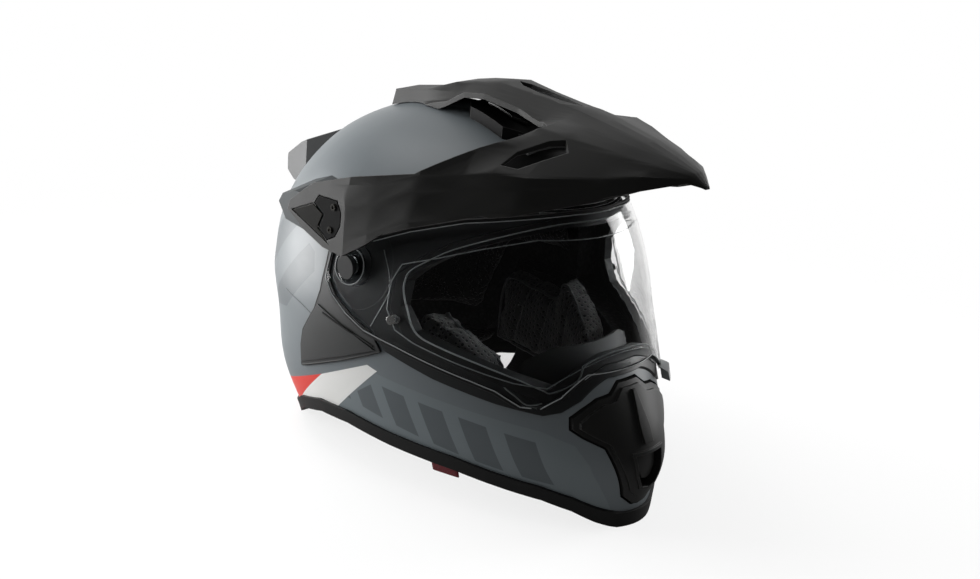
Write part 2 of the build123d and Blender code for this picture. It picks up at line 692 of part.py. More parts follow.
# Rear spoiler: a hollow wing over the exhaust slots, with a mesh in its mouth
with BuildPart() as rear_spoiler:
    extrude(side_face(SPOILER_SHARES), amount=2 * reach)
    extrude(plan_face(SPOILER_PLAN_SHARES), amount=through, mode=Mode.INTERSECT)
    add(whole, mode=Mode.SUBTRACT)
    with BuildPart(mode=Mode.PRIVATE) as mouth:
        extrude(side_face(SPOILER_SHARES, -spoiler_wall), amount=2 * reach)
        extrude(plan_face(SPOILER_MOUTH_SHARES), amount=through, mode=Mode.INTERSECT)
    add(mouth.part, mode=Mode.SUBTRACT)
save(rear_spoiler.part, "rear_spoiler")

# Face shield with its lift tab
tab_x_share, tab_half_share = 0.45, 0.045
tab_low_share, tab_high_share = 0.338, 0.368
tab_root_share = 0.80
tab_reach = 6
pin_back_share, pin_height_share = -0.134, 0.504
pin_y, pin_z = pin_back_share * shell_length, pin_height_share * shell_height
with BuildPart() as shield_lens:
    add(layer(-lens_gap - lens_wall, -lens_gap, lens_rows))
    extrude(side_face(SHIELD_SHARES), amount=2 * reach, mode=Mode.INTERSECT)
    with BuildPart(mode=Mode.PRIVATE) as tab:
        with BuildSketch(Plane.YZ.offset((tab_x_share - tab_half_share) * half_width)):
            with BuildLine():
                Polyline(
                    (-chin_reach, tab_low_share * shell_height),
                    (-brow_reach, tab_low_share * shell_height),
                    (-brow_reach, tab_high_share * shell_height),
                    (-tab_root_share * chin_reach, tab_high_share * shell_height),
                    close=True,
                )
            make_face()
        extrude(amount=2 * tab_half_share * half_width)
        add(form(-lens_gap - lens_wall - tab_reach, lens_rows), mode=Mode.INTERSECT)
        add(form(-lens_gap - lens_wall, lens_rows), mode=Mode.SUBTRACT)
    add(tab.part)
    for side, hand in SIDES:
        with BuildSketch(across_plane(side, 0, pivot_y, pivot_z)):
            Circle(ring_radius)
        extrude(amount=through, mode=Mode.SUBTRACT)
        with BuildSketch(across_plane(side, 0, pin_y, pin_z)):
            Circle(insert_pin_radius + insert_pin_play)
        extrude(amount=through, mode=Mode.SUBTRACT)
save(shield_lens.part, "shield_lens")

# Anti-fog insert behind the shield, and the two pins that hold it
insert_top = -lens_gap + insert_gap
with BuildPart() as antifog_insert:
    add(layer(insert_top, insert_top + insert_wall, lens_rows))
    extrude(side_face(INSERT_SHARES), amount=2 * reach, mode=Mode.INTERSECT)
    for side, hand in SIDES:
        with BuildSketch(across_plane(side, 0, pin_y, pin_z)):
            Circle(insert_pin_radius + insert_pin_play)
        extrude(amount=through, mode=Mode.SUBTRACT)
save(antifog_insert.part, "antifog_insert")

insert_back = insert_top + insert_wall
for side, hand in SIDES:
    with BuildPart() as insert_pin:
        add(layer(-lens_gap - lens_wall - insert_pin_head, insert_back + insert_pin_head, lens_rows))
        with BuildSketch(across_plane(side, half_width / 2, pin_y, pin_z)):
            Circle(insert_pin_head_radius)
        extrude(amount=through, mode=Mode.INTERSECT)
        with BuildPart(mode=Mode.PRIVATE) as clamped:
            add(layer(-lens_gap - lens_wall, insert_back, lens_rows))
            with BuildSketch(across_plane(side, 0, pin_y, pin_z)):
                Circle(insert_pin_radius)
            extrude(amount=through, mode=Mode.SUBTRACT)
        add(clamped.part, mode=Mode.SUBTRACT)
    save(insert_pin.part, f"insert_pin_{hand}")

# Hinge of the shield: ratchet plate and hub on the shell, ring on the shield, cap outside
hub_end = pivot_x + ring_end
for side, hand in SIDES:
    with BuildPart() as base_plate:
        add(layer(-ratchet_proud, 0))
        with BuildSketch(across_plane(side, pivot_x / 2, pivot_y, pivot_z)):
            Circle(ratchet_radius)
        extrude(amount=through, mode=Mode.INTERSECT)
        with BuildPart(mode=Mode.PRIVATE) as hub:
            with BuildSketch(across_plane(side, pivot_x / 2, pivot_y, pivot_z)):
                Circle(hub_radius)
            extrude(amount=hub_end + cap_gap - pivot_x / 2)
            add(whole, mode=Mode.SUBTRACT)
        add(hub.part)
    save(base_plate.part, f"shield_base_plate_{hand}")
    with BuildPart() as pivot_ring:
        add(layer(-lens_gap - lens_wall, -lens_gap))
        with BuildSketch(across_plane(side, pivot_x / 2, pivot_y, pivot_z)):
            Circle(ring_radius)
            Circle(hub_radius + hub_bore_play, mode=Mode.SUBTRACT)
        extrude(amount=hub_end - pivot_x / 2, mode=Mode.INTERSECT)
    save(pivot_ring.part, f"shield_pivot_ring_{hand}")
    with BuildPart() as pivot_cap:
        with BuildSketch(across_plane(side, hub_end + cap_gap, pivot_y, pivot_z)):
            Circle(cap_radius)
        extrude(amount=cap_wall)
        chamfer(pivot_cap.faces().sort_by(Axis.X)[0 if side < 0 else -1].edges(), cap_wall / 2)
    save(pivot_cap.part, f"shield_pivot_cap_{hand}")

# Peak: a hollow loft with the notches between its arms and spine cut away
def peak_section(shares):
    y, *points = shares
    right = [(x * arm_outer, z * shell_height) for x, z in points]
    left = [(-x, z) for x, z in reversed(right) if x > 0]
    return y * shell_length, right + left


def hollow_section(shares):
    """The section drawn in by the wall, and open downwards."""
    y, edge, crease, shoulder, foot, top, ridge = shares
    points = [
        (edge[0] * arm_outer - peak_wall, HOLLOW_BOTTOM_SHARE * shell_height),
        (edge[0] * arm_outer - peak_wall, edge[1] * shell_height),
        (crease[0] * arm_outer - peak_wall, crease[1] * shell_height),
        (shoulder[0] * arm_outer - peak_wall, shoulder[1] * shell_height - peak_wall),
        (foot[0] * arm_outer - peak_wall, foot[1] * shell_height - peak_wall),
        (top[0] * arm_outer - peak_wall / 2, top[1] * shell_height - peak_wall),
        (0, ridge[1] * shell_height - peak_wall),
    ]
    left = [(-x, z) for x, z in reversed(points) if x > 0]
    return min(y, HOLLOW_REAR_SHARE) * shell_length, points + left


with BuildPart() as peak_shell:
    for row in PEAK_SECTION_SHARES:
        y, points = peak_section(row)
        with BuildSketch(Plane.XZ.offset(-y)):
            with BuildLine():
                Polyline(*points, close=True)
            make_face()
    loft(ruled=True)
    with BuildPart(mode=Mode.PRIVATE) as hollow:
        for row in PEAK_SECTION_SHARES[:-1]:
            y, points = hollow_section(row)
            with BuildSketch(Plane.XZ.offset(-y)):
                with BuildLine():
                    Polyline(*points, close=True)
                make_face()
        loft(ruled=True)
    add(hollow.part, mode=Mode.SUBTRACT)
    with BuildPart(mode=Mode.PRIVATE) as cutters:
        with BuildSketch(Plane.YZ.offset(-reach)):
            with BuildLine():
                front_y = ARM_SHARES[0][0] * shell_length
                Polyline((front_y, 0), (rear_reach, 0), (rear_reach, through),
                         (front_y, through), close=True)
            make_face()
            with BuildLine():
                Polyline(*side_points(ARM_SHARES), close=True)
            make_face(mode=Mode.SUBTRACT)
        extrude(amount=2 * reach)
        extrude(plan_face(SPINE_BAND_SHARES, arm_outer), amount=through, mode=Mode.SUBTRACT)
        for side, hand in SIDES:
            slot = [(side * x * arm_outer, y * shell_length) for x, y in SIDE_SLOT_SHARES]
            extrude(polygon(Plane.XY, slot), amount=through)
            with BuildSketch(across_plane(side, arm_inner / 2, peak_pivot_y, peak_pivot_z)):
                Circle(peak_pin_radius + peak_pin_play)
            extrude(amount=half_width)
            for shares in (LEVER_SHARES, LOCK_PLATE_SHARES):
                with BuildSketch(across_plane(side, arm_outer - pocket_depth, 0, 0)):
                    with BuildLine():
                        Polyline(*on_side(side, shares), close=True)
                    make_face()
                    offset(amount=lock_gap, kind=Kind.INTERSECTION)
                extrude(amount=pocket_depth + lock_gap)
        extrude(plan_face(SPINE_OPENING_SHARES, arm_outer), amount=through)
        with BuildPart(mode=Mode.PRIVATE) as crown:
            add(form(-peak_clearance))
            with BuildSketch(Plane.XY.offset(equator_height)):
                Rectangle(arm_outer / 2, 2 * rear_reach)
            extrude(amount=through, mode=Mode.INTERSECT)
        add(crown.part)
    add(cutters.part, mode=Mode.SUBTRACT)
save(peak_shell.part, "peak_shell")

# Peak mounts on the shell, each with the pin that its arm turns on
for side, hand in SIDES:
    with BuildPart() as peak_mount:
        with BuildSketch(across_plane(side, arm_inner - mount_gap, 0, 0)):
            with BuildLine():
                Polyline(*on_side(side, PEAK_MOUNT_SHARES), close=True)
            make_face()
        extrude(amount=-half_width / 3, taper=-mount_taper)
        with BuildSketch(across_plane(side, arm_inner - 2 * mount_gap, peak_pivot_y, peak_pivot_z)):
            Circle(peak_pin_radius)
        extrude(amount=2 * mount_gap + arm_wall - pocket_depth - layer_gap)
        add(whole, mode=Mode.SUBTRACT)
    save(peak_mount.part, f"peak_mount_{hand}")

# Lock plates, their screws and the levers that let the peak go, all in pockets of the arms
plate_base = arm_outer - pocket_depth + plate_lift
for side, hand in SIDES:
    with BuildPart() as lock_plate:
        with BuildSketch(across_plane(side, plate_base, 0, 0)):
            with BuildLine():
                Polyline(*on_side(side, LOCK_PLATE_SHARES), close=True)
            make_face()
        extrude(amount=plate_wall)
    save(lock_plate.part, f"lock_plate_{hand}")
    with BuildPart() as lock_lever:
        with BuildSketch(across_plane(side, plate_base, 0, 0)):
            with BuildLine():
                Polyline(*on_side(side, LEVER_SHARES), close=True)
            make_face()
        extrude(amount=plate_wall)
    save(lock_lever.part, f"lock_lever_{hand}")
with BuildPart() as lock_screws:
    for side, hand in SIDES:
        for y, z in side_points(SCREW_PLACE_SHARES):
            with BuildSketch(across_plane(side, plate_base + plate_wall, y, z)):
                Circle(screw_radius)
                RegularPolygon(screw_radius / 2, 6, mode=Mode.SUBTRACT)
            extrude(amount=screw_head)
save(lock_screws.part, "lock_screws")

# Mesh in the mouth of the rear spoiler
mesh_back_share = 0.47
mesh_y = mesh_back_share * shell_length
with BuildPart() as rear_vent_mesh:
    extrude(side_face(SPOILER_SHARES, -spoiler_wall - layer_gap), amount=2 * reach)
    with BuildPart(mode=Mode.PRIVATE) as mesh_plan:
        extrude(plan_face(SPOILER_MOUTH_SHARES), amount=through)
    add(mesh_plan.part, mode=Mode.INTERSECT)
    with BuildSketch(Plane.XZ.offset(-mesh_y)):
        Rectangle(2 * through, 2 * through)
    extrude(amount=-vent_mesh_wall, mode=Mode.INTERSECT)
    add(form(-layer_gap), mode=Mode.SUBTRACT)
save(rear_vent_mesh.part, "rear_vent_mesh")

# Chin strap: each side is riveted to the shell behind the cheek foam, and they meet at two rings
STRAP_TOP_SHARES = (0.792, 0.427)
STRAP_BEND_SHARES = (0.720, 0.179)
STRAP_HANDLE_SHARES = ((0.694, 0.079), (0.476, 0.050))
STRAP_LOW_SHARES = (0.0, 0.050)


def strap_band():
    """The whole strap as one band across the helmet, seen from the front."""
    def place(shares, lift=0, side=1):
        return (side * (shares[0] * half_width - lift), shares[1] * shell_height + lift)

    low = STRAP_LOW_SHARES[1] * shell_height
    with BuildPart() as band:
        with BuildSketch(Plane.XZ.offset(-rivet_y)):
            for side in (-1, 1):
                with BuildLine():
                    bend = place(STRAP_BEND_SHARES, 0, side)
                    top = place(STRAP_TOP_SHARES, 0, side)
                    inner_top = (top[0] - side * strap_wall, top[1])
                    inner_bend = (bend[0] - side * strap_wall, bend[1])
                    handles = [place(shares, 0, side) for shares in STRAP_HANDLE_SHARES]
                    raised = [place(shares, strap_wall, side) for shares in STRAP_HANDLE_SHARES]
                    Line(top, bend)
                    Bezier(bend, *handles, (0, low))
                    Line((0, low), (0, low + strap_wall))
                    Bezier((0, low + strap_wall), *reversed(raised), inner_bend)
                    Line(inner_bend, inner_top)
                    Line(inner_top, top)
                make_face()
        extrude(amount=strap_width / 2, both=True)
    return band.part


ring_low = STRAP_LOW_SHARES[1] * shell_height + strap_wall / 2 - ring_wall - ring_gap / 2
ring_x = ring_place_share * half_width
far_x = ring_x - ring_depth + ring_rim
loop_high = 2 * ring_wall + ring_gap + 2 * loop_room
loop_long = ring_rim + 2 * loop_room
whole_strap = strap_band()
for side, hand in SIDES:
    bar_x = ring_x - ring_rim / 2 if side > 0 else far_x - ring_rim / 2
    loop_middle = ring_low + ring_wall + ring_gap / 2
    with BuildPart() as strap:
        add(whole_strap)
        split(bisect_by=Plane.YZ.offset(bar_x), keep=Keep.TOP if side > 0 else Keep.BOTTOM)
        with BuildSketch(Plane.XZ.offset(-rivet_y)):
            with Locations((bar_x, loop_middle)):
                RectangleRounded(loop_long + 2 * strap_wall, loop_high + 2 * strap_wall, strap_wall)
        extrude(amount=strap_width / 2, both=True)
        with BuildSketch(Plane.XZ.offset(-rivet_y)):
            with Locations((bar_x, loop_middle)):
                RectangleRounded(loop_long, loop_high, loop_room)
        extrude(amount=strap_width, both=True, mode=Mode.SUBTRACT)
    save(strap.part, f"chin_strap_{hand}")
    with BuildPart() as strap_rivet:
        with BuildSketch(across_plane(side, STRAP_BEND_SHARES[0] * half_width, rivet_y, rivet_z)):
            Circle(rivet_radius)
        extrude(amount=half_width / 3)
        add(inside, mode=Mode.INTERSECT)
        add(strap.part, mode=Mode.SUBTRACT)
        with BuildPart(mode=Mode.PRIVATE) as pad_side:
            with BuildSketch(across_plane(side, 0, rivet_y, rivet_z)):
                Circle(rivet_radius)
            extrude(amount=STRAP_TOP_SHARES[0] * half_width - strap_wall)
        add(pad_side.part, mode=Mode.SUBTRACT)
    save(strap_rivet.part, f"strap_rivet_{hand}")

# The two rings of the strap, stamped from plate, one above the other
for place, name in enumerate(("strap_ring_lower", "strap_ring_upper")):
    base = ring_low + place * (ring_wall + ring_gap)
    with BuildPart() as strap_ring:
        with BuildSketch(Plane.XY.offset(base)):
            with Locations((ring_x - ring_depth / 2, rivet_y)):
                RectangleRounded(ring_depth, ring_span, ring_corner)
                RectangleRounded(ring_depth - 2 * ring_rim, ring_span - 2 * ring_rim,
                                 ring_corner - ring_rim, mode=Mode.SUBTRACT)
        extrude(amount=ring_wall)
    save(strap_ring.part, name)

# Pull tabs that free the cheek pads from below
TAB_SHARES = ((-0.240, 0.060), (-0.184, 0.060), (-0.184, 0.176), (-0.240, 0.176))
tab_depth = shell_wall + trim_inner + layer_gap
with BuildPart() as release_tabs:
    add(layer(tab_depth, tab_depth + tab_wall))
    extrude(side_face(TAB_SHARES), amount=2 * reach, mode=Mode.INTERSECT)
for side, hand in SIDES:
    save(one_side(release_tabs.part, side), f"release_tab_{hand}")
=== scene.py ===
from math import cos, pi, radians, sin

import bmesh
import bpy
from mathutils import Matrix, Vector
from mathutils.bvhtree import BVHTree
from mathutils.geometry import interpolate_bezier


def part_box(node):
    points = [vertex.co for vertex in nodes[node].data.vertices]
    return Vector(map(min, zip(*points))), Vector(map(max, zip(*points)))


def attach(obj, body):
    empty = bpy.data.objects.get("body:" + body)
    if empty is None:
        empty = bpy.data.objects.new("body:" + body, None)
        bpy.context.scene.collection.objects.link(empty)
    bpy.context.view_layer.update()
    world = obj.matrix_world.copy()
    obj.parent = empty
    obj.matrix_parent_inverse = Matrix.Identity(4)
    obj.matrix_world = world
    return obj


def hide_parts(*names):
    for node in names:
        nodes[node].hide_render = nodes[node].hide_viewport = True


# A dual sport helmet. Metres, +Z up, the wearer looks along -Y and the right side is -X.

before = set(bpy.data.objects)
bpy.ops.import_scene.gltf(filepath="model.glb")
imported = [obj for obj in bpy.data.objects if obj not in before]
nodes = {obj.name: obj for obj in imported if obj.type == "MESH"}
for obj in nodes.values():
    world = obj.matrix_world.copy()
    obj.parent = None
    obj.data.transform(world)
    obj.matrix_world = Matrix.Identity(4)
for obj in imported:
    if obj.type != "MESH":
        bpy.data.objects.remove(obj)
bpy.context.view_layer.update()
SIDES = ((-1, "right"), (1, "left"))

# The shell's main sizes, which the graphics and the straps follow
shell_height = 0.262
shell_length = 0.359
half_width = 0.126

# Camera: where it looks from, its roll, distance, framing offset and lens
camera_azimuth = radians(46.6226)
camera_elevation = radians(18.5157)
camera_roll = radians(5.3437)
camera_distance = 0.940335
camera_target = Vector((0, -0.030, 0.140))
camera_offset = (0.005534, 0.011773)
camera_sensor = 36
camera_lens = 45.54


# Scene: camera, lamps, world and floor
def make_camera():
    side = Vector((cos(camera_azimuth), -sin(camera_azimuth), 0))
    back = Vector((
        -sin(camera_azimuth) * cos(camera_elevation),
        -cos(camera_azimuth) * cos(camera_elevation),
        sin(camera_elevation),
    ))
    level_up = back.cross(side)
    right = side * cos(camera_roll) + level_up * sin(camera_roll)
    up = back.cross(right)
    place = camera_target + back * camera_distance
    place -= right * camera_offset[0]
    place -= up * camera_offset[1]
    camera = bpy.data.objects.new("camera", bpy.data.cameras.new("camera"))
    camera.data.sensor_width = camera_sensor
    camera.data.lens = camera_lens
    camera.matrix_world = Matrix((right, up, back)).transposed().to_4x4()
    camera.location = place
    bpy.context.scene.collection.objects.link(camera)
    bpy.context.scene.camera = camera


def add_lamp(name, place, aim, size, power):
    """A square soft lamp that shines from a place towards a point."""
    lamp = bpy.data.objects.new(name, bpy.data.lights.new(name, "AREA"))
    lamp.data.size = size
    lamp.data.energy = power
    lamp.location = place
    lamp.rotation_euler = (Vector(place) - Vector(aim)).to_track_quat("Z", "Y").to_euler()
    bpy.context.scene.collection.objects.link(lamp)


def make_lamps():
    aim = (0, 0, 0.14)
    add_lamp("rear_side_lamp", (-0.80, 1.20, 0.16), aim, 1.0, 21)
    add_lamp("rear_low_lamp", (-0.50, 1.30, 0.10), (-0.05, 0.05, 0.05), 0.9, 4)
    add_lamp("top_lamp", (-0.3, 0.6, 1.5), aim, 0.9, 6)
    add_lamp("front_side_lamp", (1.4, -0.5, 0.5), aim, 0.6, 7)


def make_world():
    """A pale background, brighter behind the helmet than on the side that the glass faces."""
    world = bpy.data.worlds.new("studio")
    bpy.context.scene.world = world
    world.use_nodes = True
    tree = world.node_tree
    background = tree.nodes["Background"]
    ambient, bright_side = 0.15, (0.72, 0.66, 0.20)
    path = tree.nodes.new("ShaderNodeLightPath")
    place = tree.nodes.new("ShaderNodeTexCoord").outputs["Generated"]
    facing = vector_node(tree, "DOT_PRODUCT", place, bright_side)
    spread = ramp_between(tree, facing, 0.03, 1, start=0.35, end=0.95, shape="SMOOTHSTEP")
    first = tree.nodes.new("ShaderNodeMix")
    first.inputs["A"].default_value = ambient
    second = tree.nodes.new("ShaderNodeMix")
    second.inputs["B"].default_value = 1
    link = tree.links.new
    link(path.outputs["Is Glossy Ray"], first.inputs["Factor"])
    link(spread, first.inputs["B"])
    turned = math_node(tree, "ADD", path.outputs["Diffuse Depth"], path.outputs["Glossy Depth"])
    straight = math_node(tree, "LESS_THAN", turned, 0.5)
    through = math_node(tree, "MULTIPLY", path.outputs["Is Transmission Ray"], straight)
    seen = math_node(tree, "MAXIMUM", path.outputs["Is Camera Ray"], through)
    link(seen, second.inputs["Factor"])
    link(first.outputs["Result"], second.inputs["A"])
    link(second.outputs["Result"], background.inputs["Strength"])
    background.inputs["Color"].default_value = (1, 1, 1, 1)


def make_floor():
    """A plain pale floor that thins out to the background round the helmet."""
    floor_radius, floor_glow = 1.4, 0.6
    mesh = bmesh.new()
    bmesh.ops.create_circle(mesh, cap_ends=True, segments=96, radius=floor_radius)
    floor = object_from(mesh, "floor")
    material, tree, shader = new_material("pale_floor")
    shader.inputs["Base Color"].default_value = (0.86, 0.86, 0.86, 1)
    shader.inputs["Roughness"].default_value = 0.9
    shader.inputs["Specular IOR Level"].default_value = 0.1
    away = vector_node(tree, "LENGTH", own_place(tree))
    fade = ramp_between(tree, away, 0.5, 0, start=0.22, end=0.75, shape="SMOOTHSTEP")
    tree.links.new(fade, shader.inputs["Alpha"])
    path = tree.nodes.new("ShaderNodeLightPath")
    shader.inputs["Emission Color"].default_value = (1, 1, 1, 1)
    glow = math_node(tree, "MULTIPLY", path.outputs["Is Camera Ray"], floor_glow)
    tree.links.new(glow, shader.inputs["Emission Strength"])
    floor.data.materials.append(material)


# Mesh helpers
def object_from(mesh, name):
    """An object at the origin that holds a finished bmesh."""
    data = bpy.data.meshes.new(name)
    mesh.to_mesh(data)
    mesh.free()
    made = bpy.data.objects.new(name, data)
    bpy.context.scene.collection.objects.link(made)
    return made


def node_mesh(name):
    """A merged copy of a node's mesh."""
    mesh = bmesh.new()
    mesh.from_mesh(nodes[name].data)
    bmesh.ops.remove_doubles(mesh, verts=mesh.verts, dist=0.00002)
    return mesh


def bake_modifiers(made):
    """Puts what the modifiers make into the mesh, and takes them off."""
    graph = bpy.context.evaluated_depsgraph_get()
    data = bpy.data.meshes.new_from_object(made.evaluated_get(graph))
    made.modifiers.clear()
    made.data = data


def dress(made, material):
    """Gives a mesh one material in place of those that it has."""
    made.data.materials.clear()
    made.data.materials.append(material)


def smooth(made):
    for face in made.data.polygons:
        face.use_smooth = True


def tube(name, points, radius, closed=False, sides=3):
    """A round tube through points, as a mesh."""
    curve = bpy.data.curves.new(name, "CURVE")
    curve.dimensions = "3D"
    curve.bevel_depth = radius
    curve.bevel_resolution = sides - 1
    curve.use_fill_caps = not closed
    spline = curve.splines.new("POLY")
    spline.points.add(len(points) - 1)
    for point, place in zip(spline.points, points):
        point.co = (*place, 1)
    spline.use_cyclic_u = closed
    holder = bpy.data.objects.new(name + "_line", curve)
    bpy.context.scene.collection.objects.link(holder)
    graph = bpy.context.evaluated_depsgraph_get()
    data = bpy.data.meshes.new_from_object(holder.evaluated_get(graph))
    bpy.data.objects.remove(holder)
    bpy.data.curves.remove(curve)
    made = bpy.data.objects.new(name, data)
    bpy.context.scene.collection.objects.link(made)
    smooth(made)
    return made


# Node groups that several materials share
def feed(tree, socket, value):
    """Links a socket to another node's output, or sets it to a value."""
    if isinstance(value, bpy.types.NodeSocket):
        tree.links.new(value, socket)
    else:
        socket.default_value = value


def ramp_between(tree, value, low, high, start=0.0, end=1.0, shape="LINEAR"):
    """A value carried from one range to another."""
    node = tree.nodes.new("ShaderNodeMapRange")
    node.interpolation_type = shape
    node.inputs["From Min"].default_value = start
    node.inputs["From Max"].default_value = end
    node.inputs["To Min"].default_value = low
    node.inputs["To Max"].default_value = high
    tree.links.new(value, node.inputs["Value"])
    return node.outputs["Result"]


def new_group(name, inputs, outputs):
    group = bpy.data.node_groups.new(name, "ShaderNodeTree")
    for socket, kind in inputs:
        group.interface.new_socket(socket, in_out="INPUT", socket_type=kind)
    for socket, kind in outputs:
        group.interface.new_socket(socket, in_out="OUTPUT", socket_type=kind)
    start = group.nodes.new("NodeGroupInput")
    end = group.nodes.new("NodeGroupOutput")
    return group, start, end


def math_node(tree, operation, first, second=None, clamp=False):
    """A Math node on two sockets or numbers, as its result."""
    node = tree.nodes.new("ShaderNodeMath")
    node.operation = operation
    node.use_clamp = clamp
    for socket, value in zip(node.inputs, (first, second)):
        if value is not None:
            feed(tree, socket, value)
    return node.outputs[0]


def vector_node(tree, operation, first, second=None, output="Value"):
    """A Vector Math node on two sockets or vectors, as its result."""
    node = tree.nodes.new("ShaderNodeVectorMath")
    node.operation = operation
    for socket, value in zip(node.inputs, (first, second)):
        if value is not None:
            feed(tree, socket, value)
    return node.outputs[output]


def layered(tree, colour, over, mask):
    """One colour laid over another by a mask."""
    mix = tree.nodes.new("ShaderNodeMix")
    mix.data_type = "RGBA"
    for name, value in (("Factor", mask), ("A", colour), ("B", over)):
        feed(tree, mix.inputs[name], value)
    return mix.outputs["Result"]


FLOAT, COLOUR, VECTOR = "NodeSocketFloat", "NodeSocketColor", "NodeSocketVector"


def make_line_group():
    """1 on one side of a line across the side view, 0 on the other."""
    group, start, end = new_group(
        "past_line",
        (("Place", VECTOR), ("Through", VECTOR), ("Towards", VECTOR), ("Softness", FLOAT)),
        (("Mask", FLOAT),),
    )
    apart = vector_node(group, "SUBTRACT", start.outputs["Place"], start.outputs["Through"],
                        output="Vector")
    along = vector_node(group, "DOT_PRODUCT", apart, start.outputs["Towards"])
    eased = math_node(group, "DIVIDE", along, start.outputs["Softness"])
    mask = math_node(group, "ADD", eased, 0.5, clamp=True)
    group.links.new(mask, end.inputs["Mask"])
    return group


def make_bars_group():
    """Bars of even width, one every pitch along a direction."""
    group, start, end = new_group(
        "even_bars",
        (("Place", VECTOR), ("Across", VECTOR), ("Pitch", FLOAT), ("Share", FLOAT)),
        (("Mask", FLOAT),),
    )
    along = vector_node(group, "DOT_PRODUCT", start.outputs["Place"], start.outputs["Across"])
    turns = math_node(group, "DIVIDE", along, start.outputs["Pitch"])
    part = math_node(group, "FRACT", turns)
    mask = math_node(group, "LESS_THAN", part, start.outputs["Share"])
    group.links.new(mask, end.inputs["Mask"])
    return group


def make_grain_group():
    """The height of moulded grain, and a slow variation over the whole piece."""
    group, start, end = new_group(
        "moulded_grain",
        (("Place", VECTOR), ("Scale", FLOAT), ("Coarse Share", FLOAT)),
        (("Height", FLOAT), ("Variation", FLOAT)),
    )
    fine = group.nodes.new("ShaderNodeTexNoise")
    fine.inputs["Detail"].default_value = 3
    cells = group.nodes.new("ShaderNodeTexVoronoi")
    cells.feature = "SMOOTH_F1"
    slow = group.nodes.new("ShaderNodeTexNoise")
    slow.inputs["Scale"].default_value = 22
    slow.inputs["Detail"].default_value = 4
    group.links.new(start.outputs["Place"], fine.inputs["Vector"])
    group.links.new(start.outputs["Scale"], fine.inputs["Scale"])
    group.links.new(start.outputs["Place"], cells.inputs["Vector"])
    group.links.new(start.outputs["Scale"], cells.inputs["Scale"])
    group.links.new(start.outputs["Place"], slow.inputs["Vector"])
    coarse = math_node(group, "MULTIPLY", cells.outputs["Distance"], start.outputs["Coarse Share"])
    height = math_node(group, "ADD", fine.outputs["Fac"], coarse)
    group.links.new(height, end.inputs["Height"])
    group.links.new(slow.outputs["Fac"], end.inputs["Variation"])
    return group


def make_edge_group():
    """A base colour with an uneven painted highlight along the outward edges."""
    group, start, end = new_group(
        "painted_edge_highlights",
        (("Color", COLOUR), ("Edge Color", COLOUR), ("Amount", FLOAT), ("Variation", FLOAT),
         ("Width", FLOAT)),
        (("Color", COLOUR), ("Mask", FLOAT)),
    )
    shape = group.nodes.new("ShaderNodeNewGeometry")
    rounded = group.nodes.new("ShaderNodeBevel")
    rounded.samples = 4
    group.links.new(start.outputs["Width"], rounded.inputs["Radius"])
    bent = vector_node(group, "DOT_PRODUCT", rounded.outputs["Normal"], shape.outputs["Normal"])
    sharp = ramp_between(group, bent, 0, 1, start=0.995, end=0.93)
    outward = ramp_between(group, shape.outputs["Pointiness"], 0, 1, start=0.499, end=0.506)
    # Rounded outward edges are lightened: this is painted highlight.
    edge = math_node(group, "MULTIPLY", sharp, outward)
    highlighted = math_node(group, "MULTIPLY", edge, start.outputs["Amount"])
    patchy = math_node(group, "MULTIPLY", highlighted, start.outputs["Variation"], clamp=True)
    mixed = layered(group, start.outputs["Color"], start.outputs["Edge Color"], patchy)
    group.links.new(mixed, end.inputs["Color"])
    group.links.new(patchy, end.inputs["Mask"])
    return group


def make_weave_group():
    """The height of crossed threads, from two directions in the cloth."""
    group, start, end = new_group(
        "crossed_threads",
        (("Place", VECTOR), ("Pitch", FLOAT)),
        (("Height", FLOAT),),
    )
    parts = group.nodes.new("ShaderNodeSeparateXYZ")
    group.links.new(start.outputs["Place"], parts.inputs[0])
    waves = []
    for axis in ("X", "Y", "Z"):
        turns = math_node(group, "DIVIDE", parts.outputs[axis], start.outputs["Pitch"])
        angle = math_node(group, "MULTIPLY", turns, pi)
        wave = math_node(group, "ABSOLUTE", math_node(group, "SINE", angle))
        waves.append(wave)
    rows = math_node(group, "MAXIMUM", math_node(group, "MAXIMUM", waves[0], waves[1]), waves[2])
    group.links.new(rows, end.inputs["Height"])
    return group


past_line = make_line_group()
even_bars = make_bars_group()
moulded_grain = make_grain_group()
painted_edge_highlights = make_edge_group()
crossed_threads = make_weave_group()


# Material helpers
def new_material(name):
    material = bpy.data.materials.new(name)
    material.use_nodes = True
    return material, material.node_tree, material.node_tree.nodes["Principled BSDF"]


def own_place(tree):
    """Where a point is in its piece's own coordinates, which are the helmet's."""
    return tree.nodes.new("ShaderNodeTexCoord").outputs["Object"]


def use_group(tree, group, **values):
    """A group in a material, with numbers set or sockets linked by input name."""
    node = tree.nodes.new("ShaderNodeGroup")
    node.node_tree = group
    for name, value in values.items():
        feed(tree, node.inputs[name.replace("_", " ")], value)
    return node


def add_bump(tree, shader, height, distance, strength, rounding=0):
    """Bump from a height, over edges that are rounded by a small radius."""
    bump = tree.nodes.new("ShaderNodeBump")
    bump.inputs["Distance"].default_value = distance
    bump.inputs["Strength"].default_value = strength
    tree.links.new(height, bump.inputs["Height"])
    if rounding:
        round_edge = tree.nodes.new("ShaderNodeBevel")
        round_edge.samples = 6
        round_edge.inputs["Radius"].default_value = rounding
        tree.links.new(round_edge.outputs["Normal"], bump.inputs["Normal"])
    tree.links.new(bump.outputs["Normal"], shader.inputs["Normal"])


def linear(red, green, blue):
    """A colour given in display values from 0 to 255."""
    return (*((value / 255) ** 2.2 for value in (red, green, blue)), 1)


